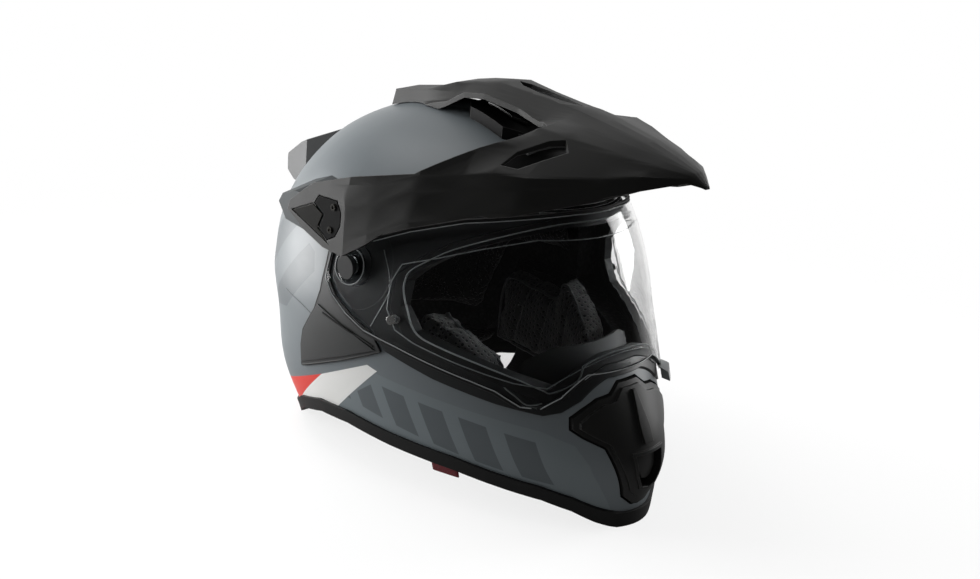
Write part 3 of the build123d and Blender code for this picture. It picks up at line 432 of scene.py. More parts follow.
def moulded(name, colour, edge_highlight_colour, roughness, grain_scale, grain_depth, coarse=0.3,
            rounding=0.0006, edge_highlight_amount=0.8, shine=0.5):
    """Moulded plastic or rubber with fine grain and a painted highlight along its edges."""
    material, tree, shader = new_material(name)
    place = own_place(tree)
    grain = use_group(tree, moulded_grain, Place=place, Scale=grain_scale, Coarse_Share=coarse)
    edges = use_group(tree, painted_edge_highlights, Color=colour, Edge_Color=edge_highlight_colour,
                      Amount=edge_highlight_amount, Variation=grain.outputs["Variation"], Width=rounding)
    shader.inputs["Specular IOR Level"].default_value = shine
    tree.links.new(edges.outputs["Color"], shader.inputs["Base Color"])
    rough = ramp_between(tree, grain.outputs["Variation"], roughness - 0.05, roughness + 0.05)
    tree.links.new(rough, shader.inputs["Roughness"])
    add_bump(tree, shader, grain.outputs["Height"], grain_depth, strength=0.6,
             rounding=rounding)
    return material


# Painted shell: satin grey with the white and red flashes, a lighter chin panel and plain bars.
# Each outline is a row of Y and Z in the side view.
side_flash = (
    (0.0253, 0.0659), (-0.0239, 0.0901), (-0.0327, 0.0877), (0.0082, 0.0463), (0.048, 0.006),
    (0.100, -0.0011),
)
rear_flash = ((0.0253, 0.0659), (0.140, 0.0138), (0.140, -0.037))
chin_panel = (
    (-0.033, 0.087), (-0.096, 0.078), (-0.121, 0.075), (-0.144, 0.071), (-0.163, 0.063),
    (-0.172, 0.050), (-0.177, 0.035), (-0.181, 0.007), (0.009, 0.020), (0.009, 0.045),
)
bar_band = (
    (-0.030, 0.078), (-0.100, 0.070), (-0.148, 0.062), (-0.160, 0.030), (-0.084, 0.043),
    (0.000, 0.056),
)
rear_band = ((0.036, 0.158), (0.026, 0.117), (0.112, 0.093), (0.150, 0.150), (0.110, 0.190))


def inside_outline(tree, place, outline, softness=0.0005):
    """1 inside a convex outline of the side view, 0 outside it."""
    centre = Vector((sum(y for y, z in outline), sum(z for y, z in outline))) / len(outline)
    mask = None
    for first, second in zip(outline, outline[1:] + outline[:1]):
        start, end = Vector(first), Vector(second)
        inward = Vector((start.y - end.y, end.x - start.x)).normalized()
        if inward.dot(centre - start) < 0:
            inward.negate()
        line = use_group(tree, past_line, Place=place, Through=(0, *start), Towards=(0, *inward),
                         Softness=softness)
        part = line.outputs["Mask"]
        mask = part if mask is None else math_node(tree, "MULTIPLY", mask, part)
    return mask


def turned_in(tree, place):
    """1 on the faces that look towards the middle of the head space, 0 on the others."""
    middle = (0, 0, shell_height / 2)
    apart = vector_node(tree, "SUBTRACT", place, middle, output="Vector")
    facing = vector_node(tree, "DOT_PRODUCT", apart, place.node.outputs["Normal"])
    return math_node(tree, "LESS_THAN", facing, 0)


def shell_paint():
    material, tree, shader = new_material("shell_paint")
    place = own_place(tree)
    grain = use_group(tree, moulded_grain, Place=place, Scale=1400, Coarse_Share=0.1)
    grey = linear(120, 127, 131)
    panel_grey = linear(127, 136, 140)
    bar_grey = linear(100, 107, 111)
    inner_grey = linear(30, 31, 32)
    white = linear(255, 255, 252)
    red = linear(240, 72, 62)
    panel = inside_outline(tree, place, chin_panel)
    colour = layered(tree, grey, panel_grey, panel)
    slant = Vector((0.93, -0.36)).normalized()
    bars = use_group(tree, even_bars, Place=place, Across=(0, *slant), Pitch=0.026, Share=0.62)
    band = inside_outline(tree, place, bar_band)
    chin_bars = math_node(tree, "MULTIPLY", bars.outputs["Mask"], band)
    colour = layered(tree, colour, bar_grey, chin_bars)
    rear_slant = Vector((0.70, 0.71)).normalized()
    rear_bars = use_group(tree, even_bars, Place=place, Across=(0, *rear_slant), Pitch=0.042,
                          Share=0.5)
    rear = inside_outline(tree, place, rear_band)
    side_bars = math_node(tree, "MULTIPLY", rear_bars.outputs["Mask"], rear)
    colour = layered(tree, colour, bar_grey, side_bars)
    colour = layered(tree, colour, red, inside_outline(tree, place, rear_flash))
    colour = layered(tree, colour, white, inside_outline(tree, place, side_flash))
    colour = layered(tree, colour, inner_grey, turned_in(tree, place))
    tree.links.new(colour, shader.inputs["Base Color"])
    rough = ramp_between(tree, grain.outputs["Variation"], 0.36, 0.46)
    tree.links.new(rough, shader.inputs["Roughness"])
    shader.inputs["Coat Weight"].default_value = 0.12
    shader.inputs["Coat Roughness"].default_value = 0.35
    add_bump(tree, shader, grain.outputs["Height"], distance=0.00002, strength=0.4,
             rounding=0.0005)
    return material


def clear(name, tint, ior):
    """Clear plastic that lets the lamps through."""
    material, tree, shader = new_material(name)
    shader.inputs["Base Color"].default_value = tint
    shader.inputs["Roughness"].default_value = 0
    shader.inputs["IOR"].default_value = ior
    shader.inputs["Transmission Weight"].default_value = 1
    path = tree.nodes.new("ShaderNodeLightPath")
    through = tree.nodes.new("ShaderNodeBsdfTransparent")
    through.inputs["Color"].default_value = (0.85, 0.87, 0.88, 1)
    mix = tree.nodes.new("ShaderNodeMixShader")
    tree.links.new(path.outputs["Is Shadow Ray"], mix.inputs["Fac"])
    tree.links.new(shader.outputs["BSDF"], mix.inputs[1])
    tree.links.new(through.outputs["BSDF"], mix.inputs[2])
    tree.links.new(mix.outputs["Shader"], tree.nodes["Material Output"].inputs["Surface"])
    return material


def steel(name, colour):
    material, tree, shader = new_material(name)
    place = own_place(tree)
    grain = use_group(tree, moulded_grain, Place=place, Scale=2600, Coarse_Share=0.0)
    shader.inputs["Metallic"].default_value = 1
    shader.inputs["Base Color"].default_value = colour
    rough = ramp_between(tree, grain.outputs["Variation"], 0.2, 0.34)
    tree.links.new(rough, shader.inputs["Roughness"])
    add_bump(tree, shader, grain.outputs["Height"], distance=0.00001, strength=0.3,
             rounding=0.0003)
    return material


def lining(name, colour, hole_colour, pitch):
    """Brushed lining with rows of small perforations through it."""
    fibre_light, hole_depth = 1.7, 3
    material, tree, shader = new_material(name)
    place = own_place(tree)
    cells = tree.nodes.new("ShaderNodeTexVoronoi")
    cells.inputs["Scale"].default_value = 1 / pitch
    cells.inputs["Randomness"].default_value = 0.0
    slanted = tree.nodes.new("ShaderNodeMapping")
    slanted.inputs["Rotation"].default_value = (0.62, 0.35, 0.79)
    tree.links.new(place, slanted.inputs["Vector"])
    tree.links.new(slanted.outputs["Vector"], cells.inputs["Vector"])
    fibres = use_group(tree, moulded_grain, Place=place, Scale=1700, Coarse_Share=0.2)
    hole = ramp_between(tree, cells.outputs["Distance"], 1, 0, start=0.30, end=0.40)
    light = tuple(min(1, v * fibre_light) for v in colour[:3]) + (1,)
    tone = layered(tree, colour, light, fibres.outputs["Variation"])
    tree.links.new(layered(tree, tone, hole_colour, hole), shader.inputs["Base Color"])
    shader.inputs["Roughness"].default_value = 0.88
    shader.inputs["Sheen Weight"].default_value = 0.35
    shader.inputs["Sheen Roughness"].default_value = 0.5
    sunk = math_node(tree, "MULTIPLY", hole, hole_depth)
    height = math_node(tree, "SUBTRACT", fibres.outputs["Height"], sunk)
    add_bump(tree, shader, height, distance=0.0004, strength=0.8)
    return material


def webbing(name, colour, pitch):
    """Woven band of crossed threads, with painted shade between them."""
    shade, fibre_share = 0.35, 0.3
    material, tree, shader = new_material(name)
    place = own_place(tree)
    threads = use_group(tree, crossed_threads, Place=place, Pitch=pitch)
    fibres = use_group(tree, moulded_grain, Place=place, Scale=2400, Coarse_Share=0.0)
    dark = tuple(v * shade for v in colour[:3]) + (1,)
    tree.links.new(layered(tree, dark, colour, threads.outputs["Height"]),
                   shader.inputs["Base Color"])
    shader.inputs["Roughness"].default_value = 0.8
    shader.inputs["Sheen Weight"].default_value = 0.25
    fuzz = math_node(tree, "MULTIPLY", fibres.outputs["Height"], fibre_share)
    height = math_node(tree, "ADD", threads.outputs["Height"], fuzz)
    add_bump(tree, shader, height, distance=0.0003, strength=0.8)
    return material


def beaded_foam():
    """Expanded foam whose moulded beads show."""
    material, tree, shader = new_material("beaded_foam")
    place = own_place(tree)
    cells = tree.nodes.new("ShaderNodeTexVoronoi")
    cells.inputs["Scale"].default_value = 330
    tree.links.new(place, cells.inputs["Vector"])
    seam = ramp_between(tree, cells.outputs["Distance"], 1, 0, end=0.6)
    tree.links.new(layered(tree, linear(24, 24, 25), linear(46, 47, 49), seam),
                   shader.inputs["Base Color"])
    shader.inputs["Roughness"].default_value = 0.75
    add_bump(tree, shader, seam, distance=0.0004, strength=0.7)
    return material


# The finishes. A moulded one has its colour, its painted edge highlight colour, roughness, grain
# scale and depth.
paint = shell_paint()
# The peak's light edge colour and strong amount are painted highlight along its edges.
peak_plastic = moulded("peak_plastic", linear(40, 40, 39), linear(120, 120, 119),
                       0.52, 1500, 0.00004, edge_highlight_amount=1.3, shine=0.32)
cover_plastic = moulded("cover_plastic", linear(54, 55, 55), linear(88, 90, 91),
                        0.50, 1100, 0.00010, 0.8)
surround_plastic = moulded("surround_plastic", linear(38, 40, 41), linear(90, 92, 94),
                           0.42, 500, 0.000002)
nose_plastic = moulded("nose_plastic", linear(40, 40, 39), linear(92, 92, 90), 0.42, 1500, 0.00003)
gloss_plastic = moulded("gloss_plastic", linear(22, 22, 22), linear(60, 60, 60),
                        0.16, 900, 0.00001)
lever_plastic = moulded("lever_plastic", linear(27, 26, 23), linear(110, 107, 100),
                        0.60, 1500, 0.00003, edge_highlight_amount=1.3, shine=0.08)
plate_plastic = moulded("plate_plastic", linear(17, 17, 17), linear(84, 84, 84),
                        0.62, 1500, 0.00003, edge_highlight_amount=1.3, shine=0.06)
mount_plastic = moulded("mount_plastic", linear(78, 83, 85), linear(130, 136, 138),
                        0.50, 1300, 0.00002, shine=0.2)
crown_plastic = moulded("crown_plastic", linear(24, 24, 24), linear(110, 110, 110),
                        0.50, 1500, 0.00003, edge_highlight_amount=1.3, shine=0.12)
cap_plastic = moulded("cap_plastic", linear(15, 16, 17), linear(120, 122, 123),
                      0.45, 900, 0.00001, shine=0.15)
# Dark rubber for the gasket and trims; it also colours the dark beads of painted shade in the gaps
# and along the cover's crease.
rubber_and_shade_lines = moulded("edge_rubber_and_shade_lines", linear(26, 26, 26), linear(48, 48, 48), 0.62, 1200, 0.00004, 0.2)
mesh_plastic = moulded("mesh_plastic", linear(20, 20, 20), linear(50, 50, 50), 0.5, 1500, 0.00002)
lens_plastic = clear("lens_plastic", (1, 1, 1, 1), 1.30)
insert_plastic = clear("insert_plastic", (1, 1, 1, 1), 1.12)
ring_plastic = clear("ring_plastic", (0.42, 0.45, 0.46, 1), 1.4)
# The brow vent's near-white edge colour, laid on strongly, is painted highlight along its ribs.
brow_plastic = moulded("brow_plastic", linear(40, 41, 41), linear(205, 206, 206),
                       0.22, 900, 0.00001, edge_highlight_amount=3.0)
spoiler_plastic = moulded("spoiler_plastic", linear(76, 77, 78), linear(110, 112, 113),
                          0.5, 1100, 0.00004)
lip_plastic = moulded("lip_plastic", linear(120, 122, 122), linear(160, 160, 160),
                      0.18, 900, 0.00001)
# The light grey of the shield's rim beads is painted highlight along the edges of the glass; the
# lift tab's skin takes the same colour.
rim_highlight_and_tab = moulded("rim_highlight_and_tab", linear(170, 174, 175), linear(220, 222, 222),
                      0.2, 900, 0.00001)
seal_silicone = moulded("seal_silicone", linear(150, 154, 154), linear(210, 212, 212),
                        0.25, 900, 0.00001)
bar_plastic = moulded("bar_plastic", linear(92, 98, 102), linear(110, 116, 120),
                      0.45, 1300, 0.00001)
bright_steel = steel("bright_steel", linear(205, 205, 203))
pad_lining = lining("pad_lining", linear(66, 66, 65), linear(5, 5, 5), 0.0034)
crown_lining = lining("crown_lining", linear(24, 24, 24), linear(5, 5, 5), 0.0036)
neck_lining = lining("neck_lining", linear(28, 28, 28), linear(10, 10, 10), 0.0048)
black_webbing = webbing("black_webbing", linear(34, 34, 35), 0.0016)
red_webbing = webbing("red_webbing", linear(120, 12, 30), 0.0014)
piping_cord = webbing("piping_cord", linear(96, 97, 98), 0.0012)
foam = beaded_foam()

NODE_FINISHES = {
    paint: ("outer_shell",),
    cover_plastic: ("side_cover_right", "side_cover_left"),
    surround_plastic: ("eyeport_surround", "shield_base_plate_right", "shield_base_plate_left"),
    nose_plastic: ("chin_vent_frame", "chin_vent_slider"),
    crown_plastic: ("crown_vent_housing",),
    plate_plastic: ("lock_plate_right", "lock_plate_left"),
    spoiler_plastic: ("rear_spoiler",),
    ring_plastic: ("shield_pivot_ring_right", "shield_pivot_ring_left"),
    cap_plastic: ("shield_pivot_cap_right", "shield_pivot_cap_left"),
    gloss_plastic: ("crown_vent_slider",),
    brow_plastic: ("brow_vent",),
    lever_plastic: ("lock_lever_right", "lock_lever_left", "lock_screws"),
    mount_plastic: ("peak_mount_right", "peak_mount_left"),
    rubber_and_shade_lines: ("eyeport_gasket", "edge_trim", "breath_deflector"),
    lens_plastic: ("shield_lens",),
    insert_plastic: ("antifog_insert",),
    bright_steel: ("strap_rivet_right", "strap_rivet_left", "strap_ring_lower", "strap_ring_upper",
                   "insert_pin_right", "insert_pin_left"),
    foam: ("impact_liner", "chin_liner", "cheek_foam_right", "cheek_foam_left"),
}


def finish_nodes():
    for material, names in NODE_FINISHES.items():
        for name in names:
            dress(nodes[name], material)


# Padded lining: each pad starts a little small, fills under pressure and is then sewn
def swell(made, cap, pressure):
    """Fills a closed mesh with air as cloth, with no point moving further than the cap."""
    last_frame = 20
    start = [vertex.co.copy() for vertex in made.data.vertices]
    cloth = made.modifiers.new("fill", "CLOTH")
    cloth.settings.use_pressure = True
    cloth.settings.uniform_pressure_force = pressure
    cloth.settings.effector_weights.gravity = 0
    cloth.settings.mass = 0.3
    cloth.settings.tension_stiffness = 18
    cloth.settings.bending_stiffness = 0.6
    cloth.point_cache.frame_start = 1
    cloth.point_cache.frame_end = last_frame
    for step in range(1, last_frame + 1):
        bpy.context.scene.frame_set(step)
    bake_modifiers(made)
    bpy.context.scene.frame_set(1)
    for vertex, place in zip(made.data.vertices, start):
        moved = vertex.co - place
        if moved.length > cap:
            vertex.co = place + moved * (cap / moved.length)


def sew(made, channels, depth=0.0022, half=0.0030):
    """Draws a pad's face in along channels, each a line in the side view."""
    for start, end in channels:
        start, end = Vector(start), Vector(end)
        along = end - start
        for vertex in made.data.vertices:
            place = Vector((vertex.co.y, vertex.co.z))
            part = min(1, max(0, (place - start).dot(along) / along.length_squared))
            apart = (place - start - along * part).length
            if apart < half:
                vertex.co -= vertex.normal * depth * (1 - (apart / half) ** 2)


def pad_from(node, name, material, voxel=0.004, shrink=0.0016, cap=0.004, channels=()):
    """A cushion in the space of a plain pad, with channels sewn into its inner face."""
    mesh = node_mesh(node)
    made = object_from(mesh, name)
    remesh = made.modifiers.new("remesh", "REMESH")
    remesh.mode = "VOXEL"
    remesh.voxel_size = voxel
    bake_modifiers(made)
    mesh = bmesh.new()
    mesh.from_mesh(made.data)
    for _ in range(3):
        bmesh.ops.smooth_vert(mesh, verts=mesh.verts, factor=0.5, use_axis_x=True, use_axis_y=True,
                              use_axis_z=True)
    mesh.normal_update()
    for vertex in mesh.verts:
        vertex.co -= vertex.normal * shrink
    mesh.to_mesh(made.data)
    mesh.free()
    swell(made, cap, pressure=4)
    finer = made.modifiers.new("finer", "SUBSURF")
    finer.levels = finer.render_levels = 1
    bake_modifiers(made)
    sew(made, channels)
    smooth(made)
    dress(made, material)
    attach(made, "shell")
    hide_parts(node)
    return made


# Side view of the cheek pads: their sewn channels, and the piping along their inner edge
PAD_CHANNELS = (
    ((0.0125, 0.039), (-0.0036, 0.131)), ((-0.0197, 0.039), (-0.0305, 0.131)),
    ((-0.0503, 0.039), (-0.0574, 0.131)),
)
PIPING_LINE = (
    (0.027, 0.058), (0.027, 0.106), (-0.004, 0.108), (-0.036, 0.110), (-0.044, 0.124),
    (-0.054, 0.120), (-0.086, 0.098), (-0.089, 0.090), (-0.087, 0.064), (-0.040, 0.057),
)
piping_lift, piping_radius = 0.0004, 0.0011


def make_lining():
    pad_from("comfort_liner", "crown_pad", crown_lining)
    pad_from("neck_roll", "neck_pad", neck_lining)
    for side, hand in SIDES:
        cushion = pad_from(f"cheek_pad_{hand}", f"cheek_cushion_{hand}", pad_lining, voxel=0.003,
                           channels=PAD_CHANNELS)
        tree = surface_tree(cushion)
        points = []
        for y, z in PIPING_LINE:
            place, normal, _, _ = tree.ray_cast(Vector((0, y, z)), Vector((side, 0, 0)))
            if place:
                points.append(place + normal * piping_lift)
        path = rounded_path(points + points[:1], 6)
        bead(f"cheek_piping_{hand}", path, piping_radius, piping_cord, "shell")


# The peak's skin: the moulded faces run smoothly into each other between the sharp edges
def make_peak_skin():
    sharp_angle = radians(11)
    mesh = node_mesh("peak_shell")
    made = object_from(mesh, "peak_skin")
    smooth(made)
    made.data.set_sharp_from_angle(angle=sharp_angle)
    dress(made, peak_plastic)
    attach(made, "peak")
    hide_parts("peak_shell")


# Beads along the shield, its insert, the side covers, the moulded seams and the pads; the dark gap
# and crease beads are painted shade, the light shield rim beads painted highlight
axis_back = -0.030
cast_reach = 0.4
rim_centre = Vector((0, axis_back, 0.14))
rim_angle, rim_facing, rim_points = radians(40), 0.5, 40


def surface_tree(made):
    mesh = bmesh.new()
    mesh.from_mesh(made.data)
    tree = BVHTree.FromBMesh(mesh)
    mesh.free()
    return tree


def rounded_path(corners, steps):
    """A smooth path through corners, each a vector."""
    path = []
    for index in range(len(corners) - 1):
        before = corners[max(index - 1, 0)]
        start, end = corners[index], corners[index + 1]
        after = corners[min(index + 2, len(corners) - 1)]
        first = start + (end - before) / 6
        second = end - (after - start) / 6
        path += interpolate_bezier(start, first, second, end, steps)[:-1]
    return path + [corners[-1]]


def line_on(tree, round_shares, lift, steps=5, behind=None, sink=0.0):
    """Points on an upright surface, along degrees round from the front and shares of the height.

    A ray that misses it ends on the inner face of a second surface, if one is given.
    """
    path = rounded_path([Vector((turn, share)) for turn, share in round_shares], steps)
    points = []
    for turn, share in path:
        out = Vector((-sin(radians(turn)), -cos(radians(turn)), 0))
        start = Vector((0, axis_back, share * shell_height)) + out * cast_reach
        place, normal, _, _ = tree.ray_cast(start, -out, cast_reach)
        if place:
            points.append(place + normal * lift)
        elif behind:
            place, normal, _, _ = behind.ray_cast(start - out * cast_reach, out)
            if place:
                points.append(place - out * sink)
    return points


def mirrored(points):
    return [Vector((-p.x, p.y, p.z)) for p in points]


def rim_loops(node):
    """Long runs of points along the sharp rims of a curved plate's outer face."""
    mesh = node_mesh(node)
    mesh.normal_update()
    links = {}
    for edge in mesh.edges:
        if len(edge.link_faces) != 2 or edge.calc_face_angle(0) < rim_angle:
            continue
        middle = (edge.verts[0].co + edge.verts[1].co) / 2
        away = (middle - rim_centre).normalized()
        if max(face.normal.dot(away) for face in edge.link_faces) < rim_facing:
            continue
        first, second = edge.verts
        links.setdefault(first.index, []).append(second.index)
        links.setdefault(second.index, []).append(first.index)
    mesh.verts.ensure_lookup_table()
    places = {index: mesh.verts[index].co.copy() for index in links}
    mesh.free()
    loops, used = [], set()
    for start in sorted(links):
        if start in used:
            continue
        run = [start]
        used.add(start)
        while True:
            nearby = [index for index in links[run[-1]] if index not in used]
            if not nearby:
                break
            run.append(nearby[0])
            used.add(nearby[0])
        if len(run) > rim_points:
            loops.append([places[index] for index in run])
    return loops


def bead(name, points, radius, material, body, closed=True, sides=2):
    made = tube(name, points, radius, closed=closed, sides=sides)
    made.data.materials.append(material)
    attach(made, body)


# Lines given in degrees round from the front and shares of the height. The seal starts in the
# mirror plane above the eyeport, goes back along its edge and comes forward again below it.
SEAL_LINE = (
    (0, 0.788), (22, 0.784), (44, 0.755), (64, 0.708), (74, 0.664), (78.5, 0.636), (79.6, 0.605),
    (79.0, 0.575), (76.5, 0.529), (74.5, 0.497), (71.5, 0.475), (65.5, 0.460), (49.6, 0.430),
    (36.7, 0.401), (29.5, 0.379), (26.5, 0.374), (18.5, 0.404), (15.3, 0.443), (6, 0.462),
    (0, 0.463),
)
SEAM_LINE = ((91.2, 0.669), (87.5, 0.625), (85.6, 0.585), (85.8, 0.555), (90.7, 0.464))
CATCH_LINE = ((42.6, 0.389), (41.3, 0.377), (37.7, 0.358), (33.9, 0.338), (29.4, 0.345))
# The crease line carries a dark bead of painted shade along a fold of the side cover.
CREASE_SHADE_LINE = ((110.1, 0.452), (104.8, 0.440), (98.6, 0.428), (92.7, 0.416), (89.5, 0.408))
REAR_LINE = ((131.4, 0.450), (122.8, 0.441), (116.4, 0.424))
edge_gap, edge_drop = 0.0016, 0.0012
gap_front = -0.155
longest_step, run_points = 0.012, 6
tab_inner, tab_outer, tab_top = 0.0500, 0.0635, 0.0985


def beside_edge(points, centre, gap=edge_gap, drop=edge_drop):
    """An edge moved outside its plate and down towards what is under it."""
    moved = []
    for before, place, after in zip(points[-1:] + points[:-1], points, points[1:] + points[:1]):
        outward = (place - Vector((0, axis_back, place.z))).normalized()
        aside = (after - before).cross(outward).normalized()
        if aside.dot(place - centre) < 0:
            aside.negate()
        moved.append(place + aside * gap - outward * drop)
    return moved[1:-1] if (points[0] - points[-1]).length > longest_step else moved


def at_tab(place):
    """Whether a place lies on the shield's lift tab."""
    return tab_inner < place.x < tab_outer and place.z < tab_top


def runs_without(points, left_out):
    """The runs of a line's points that aren't left out, with no jump in any of them."""
    runs, run = [], []
    for place in points + points[:1]:
        jump = run and (place - run[-1]).length > longest_step
        if run and (jump or left_out(place)):
            runs.append(run)
            run = []
        if not left_out(place):
            run.append(place)
    runs.append(run)
    return [run for run in runs if len(run) > run_points]


def make_beads():
    surround = surface_tree(nodes["eyeport_surround"])
    shell = surface_tree(nodes["outer_shell"])
    cover = surface_tree(nodes["side_cover_right"])
    for name, tree, line, radius, material, slot in (
        ("surround_seam", surround, SEAM_LINE, 0.00045, seal_silicone, "black_plastic"),
        ("surround_catch", surround, CATCH_LINE, 0.00055, seal_silicone, "black_plastic"),
        ("shell_seam", shell, REAR_LINE, 0.00045, bar_plastic, "shell_paint"),
        # A dark bead of painted shade along a crease of the side cover.
        ("cover_crease_shade", cover, CREASE_SHADE_LINE, 0.0009, rubber_and_shade_lines, "black_plastic"),
    ):
        right = line_on(tree, line, lift=0)
        bead(f"{name}_right", right, radius, material, "shell", closed=False)
        bead(f"{name}_left", mirrored(right), radius, material, "shell", closed=False)
    for _, hand in SIDES:
        # Dark beads round each side cover: painted shade in the gap between the cover and the
        # shell.
        low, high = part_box(f"side_cover_{hand}")
        for loop in rim_loops(f"side_cover_{hand}")[:1]:
            outline = beside_edge(loop, (low + high) / 2, gap=0.0002, drop=0.0006)
            bead(f"cover_gap_{hand}", outline, 0.0009, rubber_and_shade_lines, "shell")
    shield_middle = Vector((0, -0.13, 0.165))
    # Dark beads just outside the shield's edge: painted shade in the gap between the shield and
    # the surround.
    for count, loop in enumerate(rim_loops("shield_lens")[:2]):
        moved = beside_edge(loop, shield_middle)
        for part, run in enumerate(runs_without(moved, lambda place: place.y < gap_front)):
            bead(f"shield_gap_{count}_{part}", run, 0.0013, rubber_and_shade_lines, "shield",
                 closed=False)
    insert = surface_tree(nodes["antifog_insert"])
    lens = surface_tree(nodes["shield_lens"])
    for name, lift, sink, radius in (
        ("seal_bead", 0.0002, 0.0005, 0.00045), ("seal_bead_inner", -0.0013, 0.0013, 0.00035),
    ):
        right = line_on(insert, SEAL_LINE, lift, behind=lens, sink=sink)
        points = right + list(reversed(mirrored(right)))[1:-1]
        bead(name, points, radius, seal_silicone, "shield")
    for count, loop in enumerate(rim_loops("antifog_insert")):
        bead(f"insert_rim_{count}", loop, 0.00045, seal_silicone, "shield")
    # Light beads on the shield's rims: painted highlight along the edges of the glass.
    for count, loop in enumerate(rim_loops("shield_lens")):
        for part, run in enumerate(runs_without(loop, at_tab)):
            bead(f"shield_rim_{count}_{part}", run, 0.00040, rim_highlight_and_tab, "shield",
                 closed=False)


def make_lift_tab():
    """A skin over the shield's lift tab."""
    skin_wall = 0.0004
    mesh = node_mesh("shield_lens")
    away = [vertex for vertex in mesh.verts if not at_tab(vertex.co)]
    bmesh.ops.delete(mesh, geom=away, context="VERTS")
    if not mesh.faces:
        mesh.free()
        return
    made = object_from(mesh, "lift_tab")
    wall = made.modifiers.new("wall", "SOLIDIFY")
    wall.thickness = skin_wall
    wall.offset = 1
    bake_modifiers(made)
    dress(made, rim_highlight_and_tab)
    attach(made, "shield")


# The crown vent's mouth on the shell: a dark plate, and a rounded bar across it
lip_half, lip_back, lip_radius, lip_share = 0.024, -0.0675, 0.0040, 0.7
mouth_half, mouth_front, mouth_rear, mouth_wall = 0.046, -0.098, -0.060, 0.0012


def down_onto(tree, x, y, lift):
    """The place that is a lift above a surface, straight above a point of the plan."""
    place, _, _, _ = tree.ray_cast(Vector((x, y, cast_reach)), Vector((0, 0, -1)))
    return place + Vector((0, 0, lift))


def make_crown_mouth():
    tree = surface_tree(nodes["outer_shell"])
    mesh = bmesh.new()
    bmesh.ops.create_grid(mesh, x_segments=24, y_segments=10, size=0.5)
    for vertex in mesh.verts:
        x = vertex.co.x * 2 * mouth_half
        y = mouth_front + (vertex.co.y + 0.5) * (mouth_rear - mouth_front)
        vertex.co = down_onto(tree, x, y, mouth_wall)
    plate = object_from(mesh, "crown_mouth")
    wall = plate.modifiers.new("wall", "SOLIDIFY")
    wall.thickness = mouth_wall
    rim = plate.modifiers.new("rim", "BEVEL")
    rim.width = mouth_wall / 3
    rim.segments = 2
    bake_modifiers(plate)
    smooth(plate)
    plate.data.materials.append(crown_plastic)
    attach(plate, "shell")
    steps = 8
    points = [
        down_onto(tree, lip_half * share, lip_back, lip_radius * lip_share)
        for share in (step / steps for step in range(-steps, steps + 1))
    ]
    made = tube("crown_lip", points, lip_radius, sides=6)
    mesh = bmesh.new()
    mesh.from_mesh(made.data)
    caps = [face for face in mesh.faces if len(face.verts) > 4]
    rims = [edge for face in caps for edge in face.edges]
    bmesh.ops.bevel(mesh, geom=rims, offset=lip_radius * lip_share, segments=5, profile=0.5,
                    affect="EDGES", material=-1)
    mesh.to_mesh(made.data)
    mesh.free()
    smooth(made)
    made.data.materials.append(lip_plastic)
    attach(made, "shell")


# Vent meshes, each woven from fine bars where the plain plate stands
def woven_plate(node, name, body, rows, columns, bar):
    """A net of bars laid on the outer face of a plate that faces along Y."""
    off = 0.01
    low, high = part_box(node)
    plate = node_mesh(node)
    tree = BVHTree.FromBMesh(plate)
    plate.free()
    front = low.y + high.y < 0
    start_y, direction = (low.y - off, 1) if front else (high.y + off, -1)
    mesh = bmesh.new()
    bmesh.ops.create_grid(mesh, x_segments=columns, y_segments=rows, size=0.5)
    lost = []
    for vertex in mesh.verts:
        x = low.x + (vertex.co.x + 0.5) * (high.x - low.x)
        z = low.z + (vertex.co.y + 0.5) * (high.z - low.z)
        place, _, _, _ = tree.ray_cast(Vector((x, start_y, z)), Vector((0, direction, 0)))
        if place is None:
            lost.append(vertex)
        else:
            vertex.co = place + Vector((0, direction * bar, 0))
    bmesh.ops.delete(mesh, geom=lost, context="VERTS")
    made = object_from(mesh, name)
    wire = made.modifiers.new("bars", "WIREFRAME")
    wire.thickness = bar
    wire.use_even_offset = False
    bake_modifiers(made)
    made.data.materials.append(mesh_plastic)
    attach(made, body)
    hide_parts(node)


# Chin strap and release tabs. The strap's points are shares of the half width and the height.
rivet_y = 0.028 * shell_length
strap_width = 0.024
strap_wall = 0.0018
strap_top = (0.792, 0.427)
strap_bend = (0.720, 0.179)
strap_handles = ((0.694, 0.079), (0.476, 0.050))
strap_low = (0.0, 0.050)


def strap_route(side):
    """The middle line of one side of the strap, from its rivet to the mirror plane."""
    def place(shares):
        inner = strap_wall / 2
        across = shares[0] * half_width - inner
        return Vector((side * across, rivet_y, shares[1] * shell_height + inner))

    top, bend = place(strap_top), place(strap_bend)
    handles = [place(shares) for shares in strap_handles]
    low = place(strap_low)
    low.x = 0
    down = [top.lerp(bend, step / 6) for step in range(6)]
    return down + interpolate_bezier(bend, *handles, low, 24)


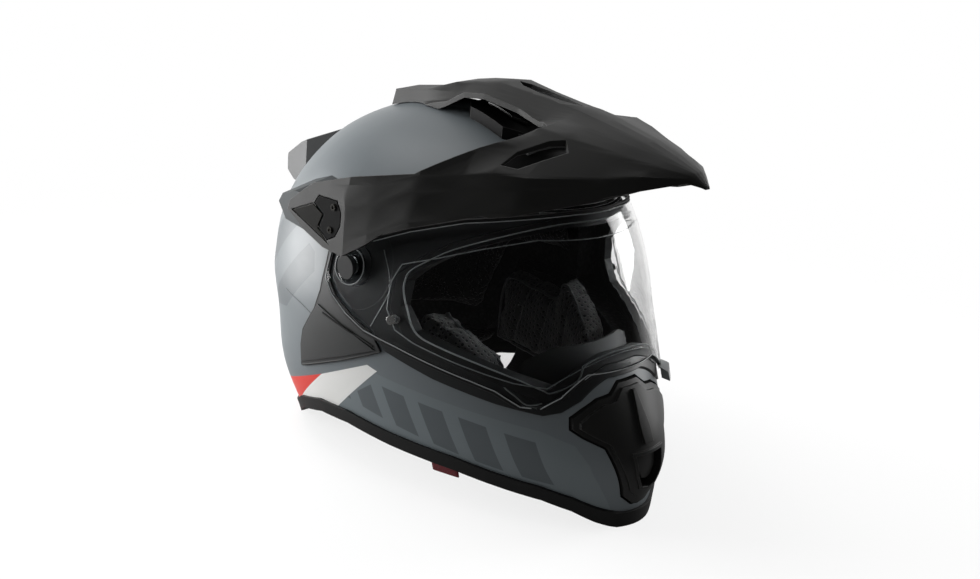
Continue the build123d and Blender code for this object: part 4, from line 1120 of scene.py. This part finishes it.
def band_along(name, route, width, wall, material):
    """A flat band along a route in the XZ plane, with thick rounded selvedges."""
    mesh = bmesh.new()
    rows = []
    for place, ahead in zip(route, route[1:] + [route[-1] * 2 - route[-2]]):
        along = (ahead - place).normalized()
        out = Vector((along.z, 0, -along.x))
        rows.append([
            mesh.verts.new(place + Vector((0, across * width / 2, 0)) + out * up * wall / 2)
            for across, up in ((-1, -0.5), (-0.94, -1), (0.94, -1), (1, -0.5),
                               (1, 0.5), (0.94, 1), (-0.94, 1), (-1, 0.5))
        ])
    for near, far in zip(rows, rows[1:]):
        for index in range(8):
            following = (index + 1) % 8
            mesh.faces.new((near[index], near[following], far[following], far[index]))
    mesh.faces.new(rows[0])
    mesh.faces.new(rows[-1])
    bmesh.ops.recalc_face_normals(mesh, faces=mesh.faces)
    made = object_from(mesh, name)
    smooth(made)
    made.data.materials.append(material)
    return made


def make_straps():
    ring_bar = 0.0018
    ring_low, ring_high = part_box("strap_ring_lower")
    near_bar, far_bar = ring_low.x + ring_bar, ring_high.x - ring_bar
    for side, hand in SIDES:
        route = strap_route(side)
        if side < 0:
            route += [p for p in reversed(strap_route(1)) if 0 < p.x < near_bar]
        else:
            route = [p for p in route if p.x > far_bar]
        made = band_along(f"strap_band_{hand}", route, strap_width, strap_wall, black_webbing)
        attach(made, "shell")
        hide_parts(f"chin_strap_{hand}")


def make_release_tabs():
    sharp_angle, edge_round = 0.6, 0.0005
    for _, hand in SIDES:
        mesh = node_mesh(f"release_tab_{hand}")
        sharp = [edge for edge in mesh.edges if edge.calc_face_angle(0) > sharp_angle]
        bmesh.ops.bevel(mesh, geom=sharp, offset=edge_round, segments=2, profile=0.5,
                        affect="EDGES", material=-1)
        made = object_from(mesh, f"pull_tab_{hand}")
        dress(made, red_webbing)
        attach(made, "shell")
        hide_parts(f"release_tab_{hand}")


make_camera()
make_lamps()
make_world()
make_floor()
finish_nodes()
make_peak_skin()
make_lining()
make_beads()
make_lift_tab()
make_crown_mouth()
woven_plate("chin_vent_mesh", "chin_net", "shell", rows=22, columns=26, bar=0.0006)
woven_plate("rear_vent_mesh", "rear_net", "shell", rows=8, columns=44, bar=0.0006)
make_straps()
make_release_tabs()

bpy.context.scene.view_settings.view_transform = "Standard"
